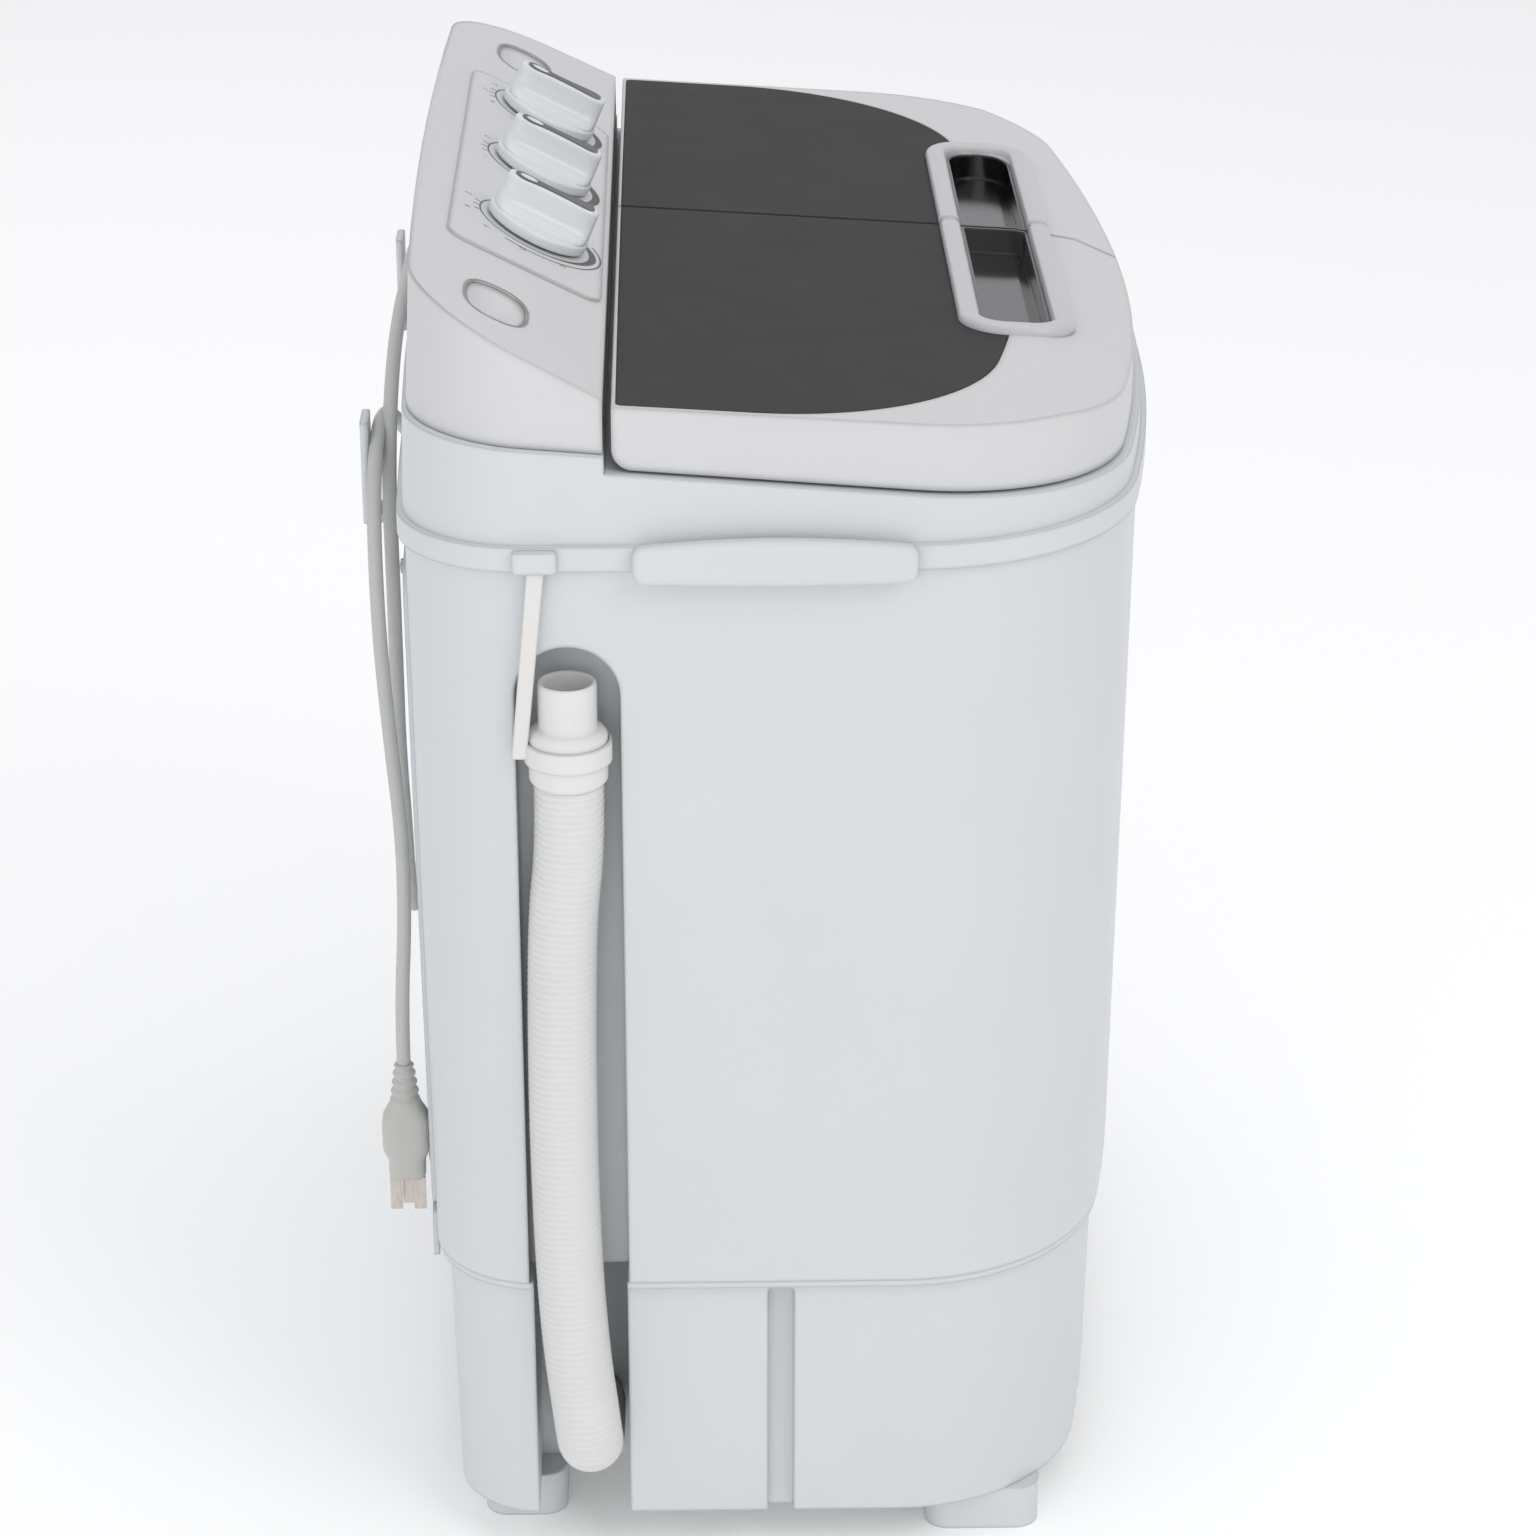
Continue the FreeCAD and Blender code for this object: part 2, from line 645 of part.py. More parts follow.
def make_shell():
    low, high = dim.shell_inset + dim.shell_draft, dim.shell_inset
    outer = drafted("shell_outer", rim_plan, low, dim.shell_bottom, high, dim.rim_bottom)
    inner = drafted("shell_inner", rim_plan, low + dim.wall, dim.shell_bottom, high + dim.wall,
                    dim.rim_bottom)
    sizes = (dim.channel_front, dim.channel_rear, dim.channel_deep, dim.channel_top)
    channel = hose_cut("channel", *sizes, 0)
    channel_wall = hose_cut("channel_wall", *sizes, dim.wall)
    hollow = cut("shell_hollow", inner, channel_wall)
    walls = cut("shell_walls", outer, hollow, channel)
    service = box("service_opening", -dim.cover_half + 20, dim.cover_half - 20, 150, FAR,
                  dim.shell_bottom + 20,
                  dim.cover_high - SERVICE_EDGE)
    node(cut("shell", walls, service), "cabinet_shell")


SERVICE_EDGE = 20       # mm, edge left round the service opening
BEHIND = 150            # mm behind the middle, where only the rear wall lies


def make_rear_cover():
    low, high = dim.shell_inset + dim.shell_draft, dim.shell_inset
    inner = drafted("cover_inside", rim_plan, low, dim.shell_bottom, high, dim.rim_bottom)
    outer = drafted("cover_outside", rim_plan, low - dim.cover_proud, dim.shell_bottom,
                    high - dim.cover_proud,
                    dim.rim_bottom)
    blank = upright_face("cover_blank", dim.cover_half, dim.shell_bottom, dim.cover_high, COVER_ROUND)
    skirt = drafted("cover_skirt", rim_plan, low - dim.cover_proud, dim.cover_low, low - dim.cover_proud,
                    dim.shell_bottom)
    skirt_in = drafted("cover_skirt_in", rim_plan, low, dim.cover_low, low, dim.shell_bottom)
    skirt_box = box("cover_skirt_box", -dim.cover_half, dim.cover_half, BEHIND, FAR, dim.cover_low,
                    dim.shell_bottom)
    upper = common("cover_upper", cut("cover_skin", outer, inner), blank)
    lower = common("cover_lower", cut("cover_apron", skirt, skirt_in), skirt_box)
    node(fuse("cover", upper, lower), "rear_cover")


def upright_face(name, half, low, high, radius):
    """A rounded block behind the machine, seen from the rear."""
    sketch = rounded(new_sketch(f"{name}_face"), -half, half, low, high, radius)
    place(sketch, y=BEHIND * 2, turn=UPRIGHT_Y)
    return extrude(name, sketch, BEHIND)


def make_cover_screws():
    screws = []
    for x in (-SCREW_X, 0, SCREW_X):
        for z in (dim.shell_bottom + SCREW_LOW, dim.cover_high - SCREW_HIGH):
            bow = dim.rear_bow - root(dim.rear_bow * dim.rear_bow - x * x)
            inset = dim.shell_inset + dim.shell_draft * (dim.rim_bottom - z) / (dim.rim_bottom - dim.shell_bottom)
            y = dim.rim_rear - inset + dim.cover_proud - bow
            screws.append(turned(f"cover_screw{len(screws)}", SCREW_HEAD, x,
                                 y + dim.slack, z, Rotation(Vector(1, 0, 0), -90)))
    group = doc.addObject("Part::Compound", "cover_screws")
    group.Links = screws
    node(group, "rear_cover_screws")


SCREW_X, SCREW_LOW, SCREW_HIGH = 176, 12, 9
SCREW_HEAD = [(0, 0), (4, 0), (3.4, 1.6), (0, 2.2)]
COVER_ROUND = 14

# ---- top frame ----


def make_top_frame():
    band = drafted("rim_band", rim_plan, 0, dim.rim_bottom, 0, rim_top)
    collar_block = drafted("collar_block", rim_plan, dim.collar_inset, rim_top,
                           dim.collar_inset + dim.collar_draft, rim_top + COLLAR_TALL)
    step, rear = dim.housing_front - 0.5, FAR_Y
    under = full_length("collar_under", [(-FAR_Y, 300), (rear, 300), (rear, deck_at(rear, dim.deck_step)),
                                     (step, deck_at(step, dim.deck_step)), (step, deck_at(step)),
                                     (-FAR_Y, deck_at(-FAR_Y))])
    collar = common("collar", collar_block, under)
    solid = fuse("top_block", band, collar)
    inside = drafted("top_inside", rim_plan, dim.collar_inset + dim.collar_draft + dim.wall,
                     dim.rim_bottom - 1,
                     dim.collar_inset + dim.collar_draft + dim.wall, rim_top + COLLAR_TALL)
    wall = dim.wall
    ceiling = full_length("top_ceiling", [(-FAR_Y, 300), (rear, 300),
                                          (rear, deck_at(rear, dim.deck_step - wall)),
                                      (step + wall, deck_at(step, dim.deck_step - wall)),
                                      (step + wall, deck_at(step, -wall)),
                                          (-FAR_Y, deck_at(-FAR_Y, -wall))])
    hollow = common("top_hollow", inside, ceiling)
    shell = cut("top_shell", solid, hollow)
    wash = upright("wash_mouth", dim.tub_left - wall, dim.tub_right + wall, dim.tub_front - wall,
                   dim.tub_rear + wall, dim.tub_round + wall, *MOUTH)
    spin = cylinder("spin_mouth", dim.spin_radius + wall + dim.slack, MOUTH[1] - MOUTH[0], dim.spin_x,
                    dim.spin_y, MOUTH[0])
    harness = box("harness_opening", *HARNESS, *MOUTH)
    lugs = [make_lug(number, x) for number, x in enumerate(lug_places())]
    body = cut("top_body", shell, wash, spin, harness)
    frame = fuse("top_frame_lugs", body, *lugs)
    bores = [cylinder(f"lug_bore{number}", dim.pin_radius, dim.lug_width * 3, x - dim.lug_width * 1.5,
                      dim.hinge_y, dim.hinge_z, TO_RIGHT) for number, x in enumerate(lug_places())]
    node(cut("top", frame, *bores), "top_frame")


COLLAR_TALL = 80
HARNESS = (-150, 190, 105, 165)     # opening for the timers under the controls
MOUTH = (500, 700)                  # heights below and above the deck


def lug_places():
    """Middles of the hinge lugs along the length: two for each lid."""
    return [dim.seam + offset for offset in LUG_OFFSETS]


LUG_OFFSETS = (-175, -35, 35, 150)
LUG_ROOT = 6            # mm, foot of a lug below the deck's wall


def make_lug(number, x):
    low = deck_at(dim.hinge_y, -dim.wall - LUG_ROOT)
    half = dim.lug_width / 2
    head = cylinder(f"lug_head{number}", dim.lug_round, dim.lug_width, x - half, dim.hinge_y, dim.hinge_z,
                    TO_RIGHT)
    stem = box(f"lug_stem{number}", x - half, x + half, dim.hinge_y - dim.lug_round, dim.hinge_y + 1.5, low,
               dim.hinge_z)
    return fuse(f"lug{number}", head, stem)


def make_hinge_pins():
    pins = []
    for number, x in enumerate(lug_places()):
        half = dim.lug_width / 2 + dim.lug_gap + BOSS_WIDTH - PIN_SHORT
        pins.append(cylinder(f"hinge_pin{number}", dim.pin_radius, half * 2, x - half, dim.hinge_y,
                             dim.hinge_z,
                             TO_RIGHT))
    group = doc.addObject("Part::Compound", "hinge_pins")
    group.Links = pins
    node(group, "lid_hinge_pins")


BOSS_WIDTH = 7
PIN_SHORT = 1           # mm, a pin's end inside its boss


def make_handle(name, side):
    """A bar on the rim, thickest in the middle, with a hanging lip that fingers go behind."""
    low, high = dim.handle_low, dim.handle_high
    middle = (dim.handle_front + dim.handle_rear) / 2
    half = (dim.handle_rear - dim.handle_front) / 2
    root_x, face_x = dim.rim_half + dim.slack, dim.handle_reach
    x0, x1 = (root_x, face_x) if side > 0 else (-face_x, -root_x)
    sketch = rounded(new_sketch(f"{name}_face"), middle - half, middle + half, low, high, 6)
    place(sketch, x0, 0, turn=UPRIGHT_X)
    bar = extrude(f"{name}_bar", sketch, x1 - x0)
    node(bar, name)
    return bar


def tub_form(name, spare, floor):
    """The wash tub's inside form, or its outside when spare is its wall."""
    lean = dim.tub_draft
    low = rounded(new_sketch(f"{name}_low"), dim.tub_left + lean - spare, dim.tub_right - lean + spare,
                  dim.tub_front + lean - spare, dim.tub_rear - lean + spare, dim.tub_round + spare)
    high = rounded(new_sketch(f"{name}_high"), dim.tub_left - spare, dim.tub_right + spare,
                   dim.tub_front - spare,
                   dim.tub_rear + spare, dim.tub_round + spare)
    place(low, z=floor)
    place(high, z=TUB_FORM_TOP)
    return loft(name, low, high)


TUB_FORM_TOP = 620


def make_wash_tub():
    wall = dim.wall - dim.slack
    outer = tub_form("tub_outer", wall, dim.tub_floor - dim.wall)
    inner = tub_form("tub_inner", 0, dim.tub_floor)
    under = deck_under("tub_under", FLANGE)
    flange = upright("tub_flange", dim.tub_left - TUB_LIP, dim.tub_right + TUB_LIP, dim.tub_front - TUB_LIP,
                     dim.tub_rear + TUB_LIP, dim.tub_round + TUB_LIP, 500, 700)
    lip = common("tub_lip", flange, deck_slab("tub_lip_slab", dim.slack, FLANGE))
    walls = common("tub_walls", outer, under)
    tub = fuse("tub_blank", walls, lip)
    bore = cylinder("tub_bore", dim.shaft_radius + SEAL_SEAT, BORE_DEEP * 2, pulsator_x, dim.spin_y,
                    dim.tub_floor - BORE_DEEP)
    drain = cylinder("tub_drain", DRAIN_RADIUS, BORE_DEEP * 2, DRAIN_X, DRAIN_Y, dim.tub_floor - BORE_DEEP)
    node(cut("tub", tub, inner, bore, drain), "wash_tub")


FLANGE = 2.2
TUB_LIP = 5
DRAIN_X, DRAIN_Y, DRAIN_RADIUS = -230, 20, 14
SEAL_SEAT, BORE_DEEP = 8, 30
pulsator_x = (dim.tub_left + dim.tub_right) / 2


def deck_under(name, rise):
    """Everything under a height above the deck."""
    return full_length(name, [(-FAR_Y, 100), (FAR_Y, 100), (FAR_Y, deck_at(FAR_Y, rise)),
                          (-FAR_Y, deck_at(-FAR_Y, rise))])


def make_spin_tub():
    r, wall = dim.spin_radius, dim.wall
    height = 640 - dim.spin_floor
    cup = turned("spin_cup", [(dim.shaft_radius + SEAL_ROOM, 0), (r + wall, 0), (r + wall, height),
                              (r, height),
                              (r, wall), (dim.shaft_radius + SEAL_ROOM, wall)],
                 dim.spin_x, dim.spin_y, dim.spin_floor - wall)
    flange = cylinder("spin_flange", r + TUB_LIP, 300, dim.spin_x, dim.spin_y, 450)
    hole = cylinder("spin_flange_hole", r, 300, dim.spin_x, dim.spin_y, 450)
    ring = cut("spin_ring", flange, hole)
    lip = common("spin_lip", ring, deck_slab("spin_lip_slab", dim.slack, FLANGE))
    walls = common("spin_walls", cup, deck_under("spin_under", FLANGE))
    node(fuse("spin", walls, lip), "spin_tub")


SEAL_ROOM = 17


# ---- controls ----

slant = root(1 + dim.panel_slope * dim.panel_slope)
PANEL_ANGLE = math.degrees(math.atan(dim.panel_slope.value))
PANEL_TURN = Rotation(Vector(1, 0, 0), PANEL_ANGLE)


def panel_point(x, up, out):
    """A point over the panel: along the length, up the slope from its foot, and out along its normal."""
    x, up, out = Size.of(x), Size.of(up), Size.of(out)
    y = dim.housing_front + (up - out * dim.panel_slope) / slant
    z = dim.panel_foot + (up * dim.panel_slope + out) / slant
    return x, y, z


def on_panel(obj, x, up, out):
    return place(obj, *panel_point(x, up, out), PANEL_TURN)


def housing_form(name, spare):
    """The control housing's outside, or its inside when spare is its wall."""
    lean = dim.housing_lean
    low_plan = rim_plan
    high_plan = Plan(dim.rim_half - lean, dim.rim_rear - HOUSING_REAR_LEAN, dim.rim_edge, dim.rear_round,
                     dim.front_round, dim.rear_bow, dim.front_bow)
    low_z = dim.deck_height
    block = drafted(f"{name}_block", low_plan, dim.housing_inset + spare, low_z, dim.housing_inset + spare,
                    dim.housing_top, high_plan)
    front, rear = dim.housing_front + spare, FAR_Y
    rise = -spare * slant
    top = dim.housing_top - spare
    ridge = dim.housing_front + (top - dim.panel_foot - rise) / dim.panel_slope
    side = full_length(f"{name}_side", [(front, deck_at(front, dim.deck_step + dim.slack)),
                                    (rear, deck_at(rear, dim.deck_step + dim.slack)), (rear, top),
                                        (ridge, top),
                                    (front, panel_at(front, rise))])
    return common(name, block, side)


HOUSING_REAR_LEAN = 3.5


def make_housing():
    outer = housing_form("housing_outer", Size.of(0))
    inner = housing_form("housing_inner", dim.wall)
    shell = cut("housing_shell", outer, inner)
    tools = []
    for number, x in enumerate(knob_places()):
        hole = cylinder(f"spindle_hole{number}", dim.spindle_radius + SPINDLE_ROOM, 20, 0, 0, 0)
        tools.append(on_panel(hole, x, dim.knob_up, -10))
    for number, x in enumerate((dim.inlet_left, dim.inlet_right)):
        tools.append(inlet_block(f"inlet_hole{number}", x, dim.slack, -30, 60))
    node(cut("housing", shell, *tools), "control_housing")


SPINDLE_ROOM = 1.5


def knob_places():
    return [dim.knob_middle - dim.knob_pitch, dim.knob_middle, dim.knob_middle + dim.knob_pitch]


def inlet_block(name, x, spare, out, length):
    """A block of a water inlet's outline, square to the panel."""
    half, radius = dim.inlet_half + spare, dim.inlet_round + spare - 0.5
    sketch = rounded(new_sketch(f"{name}_outline"), -half, half, -dim.inlet_round - spare,
                     dim.inlet_round + spare, radius)
    on_panel(sketch, x, dim.inlet_up, out)
    return extrude(name, sketch, length)


def make_inlets():
    for name, x in (("water_inlet_left", dim.inlet_left), ("water_inlet_right", dim.inlet_right)):
        cup = inlet_block(f"{name}_cup", x, 0, -dim.inlet_deep, dim.inlet_deep + INLET_LIP)
        hollow = inlet_block(f"{name}_hollow", x, -dim.wall, dim.wall - dim.inlet_deep, dim.inlet_deep * 2)
        drain = cylinder(f"{name}_drain", 4, 40, 0, 0, 0)
        on_panel(drain, x, dim.inlet_up - 5, -30)
        node(cut(name, cup, hollow, drain), name)


INLET_LIP = 0.8


def make_plate():
    """The raised plate under the knobs, which follows the panel's arch."""
    sketch = rounded(new_sketch("plate_outline"), dim.plate_left, dim.plate_right, dim.plate_low,
                     dim.plate_high,
                     10)
    on_panel(sketch, 0, 0, -10)
    prism = extrude("plate_prism", sketch, 20)
    front, rear = dim.housing_front - 20, dim.housing_front + 120
    layer = full_length("plate_layer", [(front, panel_at(front, 0)), (rear, panel_at(rear, 0)),
                                    (rear, panel_at(rear, dim.plate_rise * slant)),
                                    (front, panel_at(front, dim.plate_rise * slant))])
    holes = []
    for number, x in enumerate(knob_places()):
        hole = cylinder(f"plate_hole{number}", dim.spindle_radius + SPINDLE_ROOM, 20, 0, 0, 0)
        holes.append(on_panel(hole, x, dim.knob_up, -10))
    node(cut("plate", common("plate_blank", prism, layer), *holes), "control_plate")


KNOB_GAP = 1.2
SPINDLE_GRIP = 12
TIMER_TOP = 4


def make_knob(name, x):
    """A round skirt with a bar grip across it and a bore for its spindle."""
    body = new_body(name)
    skirt = circle(body_sketch(body, f"{name}_skirt"), dim.skirt_radius)
    pad(body, skirt, dim.skirt_height)
    reach, half = dim.skirt_radius - 0.5, dim.grip_width / 2
    grip = rounded(body_sketch(body, f"{name}_grip"), -half, half, -reach, reach, half - 0.5)
    pad(body, grip, dim.grip_height)
    bore = circle(body_sketch(body, f"{name}_bore"), dim.spindle_radius)
    pocket(body, bore, SPINDLE_GRIP)
    on_panel(body, x, dim.knob_up, dim.plate_rise + KNOB_GAP)
    node(body, name)


def make_spindle(name, x):
    down = TIMER_TOP + dim.wall + 8
    spindle = cylinder(name, dim.spindle_radius, down + dim.plate_rise + KNOB_GAP + SPINDLE_GRIP, 0, 0, 0)
    on_panel(spindle, x, dim.knob_up, -down)
    node(spindle, name)


def make_timer(name, x, half, thick):
    """A clockwork timer or a switch under the panel, with a bore for the spindle."""
    body = new_body(name)
    case = rounded(body_sketch(body, f"{name}_case"), -half, half, -TIMER_SIDE, TIMER_SIDE, 4)
    pad(body, case, thick)
    bore = circle(body_sketch(body, f"{name}_bore"), dim.spindle_radius + dim.running)
    pocket(body, bore, thick)
    on_panel(body, x, dim.knob_up, -thick - TIMER_TOP)
    node(body, name)


TIMER_SIDE = 17


def make_controls():
    names = (("wash_timer", 24, 14), ("wash_selector", 20, 12), ("spin_timer", 24, 14))
    for (name, half, thick), x in zip(names, knob_places()):
        make_knob(f"{name}_knob", x)
        make_spindle(f"{name}_spindle", x)
        case = "wash_selector_switch" if name == "wash_selector" else f"{name}_case"
        make_timer(case, x, half, thick)


# ---- lids ----


def lid_layer(name, low, high):
    """The layer between two heights about the lids' top, which falls away near its front edge."""
    front = Size.of(-FAR_Y)
    bend, nose = -dim.rim_edge + 62, -dim.rim_edge + 30
    rear = Size.of(FAR_Y)
    return full_length(name, [(front, lid_at(front, low - 46)), (nose, lid_at(nose, low - 4)),
                              (bend, lid_at(bend, low)),
                          (rear, lid_at(rear, low)), (rear, lid_at(rear, high)), (bend, lid_at(bend, high)),
                          (nose, lid_at(nose, high - 4)), (front, lid_at(front, high - 46))])


def lid_side(side):
    """Ends of a lid along the length."""
    half = dim.seam_gap / 2
    if side < 0:
        return -FAR, dim.seam - half
    return dim.seam + half, FAR


def lid_top_form(name):
    """Everything under the lids' top, up to their rear edge, which is rounded over."""
    front, nose, bend = Size.of(-FAR_Y), -dim.rim_edge + 30, -dim.rim_edge + 62
    rear, round_over = dim.lid_rear, dim.lid_round
    return full_length(name, [(front, 400), (rear, 400), (rear, dim.lid_top - round_over, round_over),
                          (rear - round_over, lid_at(rear - round_over)), (bend, lid_at(bend)),
                          (nose, lid_at(nose, -4)), (front, lid_at(front, -46))])


def lid_half(name, side, low=300, high=800):
    x0, x1 = lid_side(side)
    return box(name, x0, x1, -FAR, FAR, low, high)


def window_outline(name, spare=0):
    """The windows' common outline: straight at the hinge, with swept sides and a bowed front."""
    plan = Plan(dim.window_half + spare, dim.window_rear + spare, dim.window_front + spare,
                WINDOW_REAR_ROUND, dim.window_round, WINDOW_REAR_BOW, WINDOW_FRONT_BOW)
    return loft(name, plan.draw(f"{name}_low", 0, 500), plan.draw(f"{name}_high", 0, 700))


WINDOW_REAR_ROUND = Size.of(3)
WINDOW_REAR_BOW = Size.of(90000)
WINDOW_FRONT_BOW = Size.of(900)


def stadium(name, inset, low, high):
    """The bezel's outline: a bar with round ends."""
    y0, y1 = inset - dim.bezel_front, -dim.bezel_rear - inset
    radius = (dim.bezel_front - dim.bezel_rear) / 2 - inset - 1
    x0, x1 = dim.bezel_middle - dim.bezel_half + inset, dim.bezel_middle + dim.bezel_half - inset
    return upright(name, x0, x1, y0, y1, radius, low, high)


def make_lid(prefix, side):
    wall = dim.wall
    block = drafted(f"{prefix}_block", rim_plan, dim.lid_inset, deck_at(-150) - 12, dim.lid_inset + 1.5,
                    dim.lid_top + 4)
    inside = drafted(f"{prefix}_inside", rim_plan, dim.lid_inset + wall, deck_at(-150) - 12,
                     dim.lid_inset + 1.5 + wall, dim.lid_top + 4)
    under = deck_under(f"{prefix}_under", dim.lid_gap)
    toe_y, toe_low = dim.lid_rear - dim.lid_toe, deck_at(dim.lid_rear - dim.lid_toe, dim.lid_gap)
    behind, below = dim.lid_rear + dim.lid_toe, toe_low - dim.lid_toe * 2
    toe = full_length(f"{prefix}_toe", [(toe_y, toe_low, dim.lid_toe),
                                        (dim.lid_rear, toe_low + dim.lid_toe),
                                    (behind, toe_low + dim.lid_toe), (behind, below), (toe_y, below)])
    top = lid_top_form(f"{prefix}_top")
    half = lid_half(f"{prefix}_half", side)
    outer = common(f"{prefix}_outer", common(f"{prefix}_form", block, top), half)
    solid = cut(f"{prefix}_solid", outer, under, toe)

    ceiling = lid_layer(f"{prefix}_ceiling", -120, -dim.lid_thick)
    x0, x1 = lid_side(side)
    room = box(f"{prefix}_room", x0 + (wall if side > 0 else 0), x1 - (wall if side < 0 else 0), -FAR,
               dim.lid_rear - wall, 300, 800)
    hollow = common(f"{prefix}_hollow", common(f"{prefix}_hollow_form", inside, ceiling), room)
    shell = cut(f"{prefix}_shell", solid, hollow)

    bosses, lugs, bores = [], [], []
    for number, x in enumerate(lug_places()):
        if (number < 2) == (side < 0):
            slot_half = dim.lug_width / 2 + dim.lug_gap
            reach = slot_half + BOSS_WIDTH
            bosses.append(box(f"{prefix}_boss{number}", x - reach, x + reach, dim.hinge_y - dim.lug_round,
                              dim.lid_rear, dim.hinge_z - dim.lug_round, dim.lid_top + 20))
            lugs.append(box(f"{prefix}_slot{number}", x - slot_half, x + slot_half, dim.hinge_y - 12,
                            FAR_Y, 500,
                            dim.hinge_z + dim.lug_round + dim.lug_gap))
            bores.append(cylinder(f"{prefix}_bore{number}", dim.pin_radius + dim.running, reach * 2,
                                  x - reach,
                                  dim.hinge_y, dim.hinge_z, TO_RIGHT))
    blocks = common(f"{prefix}_blocks", solid, fuse(f"{prefix}_boss_blocks", *bosses))
    window = window_outline(f"{prefix}_window_outline")
    recess_layer = lid_layer(f"{prefix}_recess_layer", -dim.window_deep, 20)
    recess = common(f"{prefix}_recess", window, recess_layer)
    well_hole = stadium(f"{prefix}_well_hole", dim.bezel_rim, 500, 700)
    frame = cut(f"{prefix}_frame", fuse(f"{prefix}_joined", shell, blocks), *lugs, *bores, recess,
                well_hole)
    node(frame, f"{prefix}_lid_frame")

    pane_layer = lid_layer(f"{prefix}_pane_layer", -dim.window_deep, 0)
    pane_form = common(f"{prefix}_pane_form", window_outline(f"{prefix}_pane_outline", -dim.slack),
                       pane_layer)
    pane = common(f"{prefix}_pane", pane_form, lid_half(f"{prefix}_pane_half", side))
    bezel_hole = stadium(f"{prefix}_bezel_hole", 0, 500, 700)
    node(cut(f"{prefix}_window", pane, bezel_hole), f"{prefix}_lid_window")

    rim_layer = lid_layer(f"{prefix}_rim_layer", 0, dim.bezel_rise)
    recess_rim = lid_layer(f"{prefix}_rim_seat", -dim.window_deep, dim.bezel_rise)
    ring = cut(f"{prefix}_ring", stadium(f"{prefix}_ring_out", 0, 500, 700),
               stadium(f"{prefix}_ring_in", dim.bezel_rim, 500, 700))
    on_top = common(f"{prefix}_ring_top", ring, rim_layer)
    seated = common(f"{prefix}_ring_seat", common(f"{prefix}_ring_deep", ring, recess_rim), window)
    bezel = common(f"{prefix}_bezel", fuse(f"{prefix}_bezel_form", on_top, seated),
                   lid_half(f"{prefix}_bezel_half", side))
    node(bezel, f"{prefix}_lid_grip")

    cup_outer = stadium(f"{prefix}_cup_outer", dim.bezel_rim + dim.slack, 500, 700)
    cup_inner = stadium(f"{prefix}_cup_inner", dim.bezel_rim + dim.slack + 1.5, 500, 700)
    cup_layer = lid_layer(f"{prefix}_cup_layer", -dim.well_deep, -dim.slack)
    hole_layer = lid_layer(f"{prefix}_cup_hollow", -dim.well_deep + 1.5, 20)
    cup_form = common(f"{prefix}_cup_form", cup_outer, cup_layer)
    end = 1.5 if side > 0 else 0
    inner_half = box(f"{prefix}_cup_room", x0 + end, x1 - (1.5 - end), -FAR, FAR, 300, 800)
    hollow = common(f"{prefix}_cup_void", common(f"{prefix}_cup_void_form", cup_inner, hole_layer),
                    inner_half)
    cup = common(f"{prefix}_cup", cut(f"{prefix}_cup_walls", cup_form, hollow),
                 lid_half(f"{prefix}_cup_half", side))
    node(cup, f"{prefix}_lid_finger_well")


# ---- wash drive ----

mount_top = dim.tub_floor - dim.wall
plate_top = mount_top - dim.plate_under


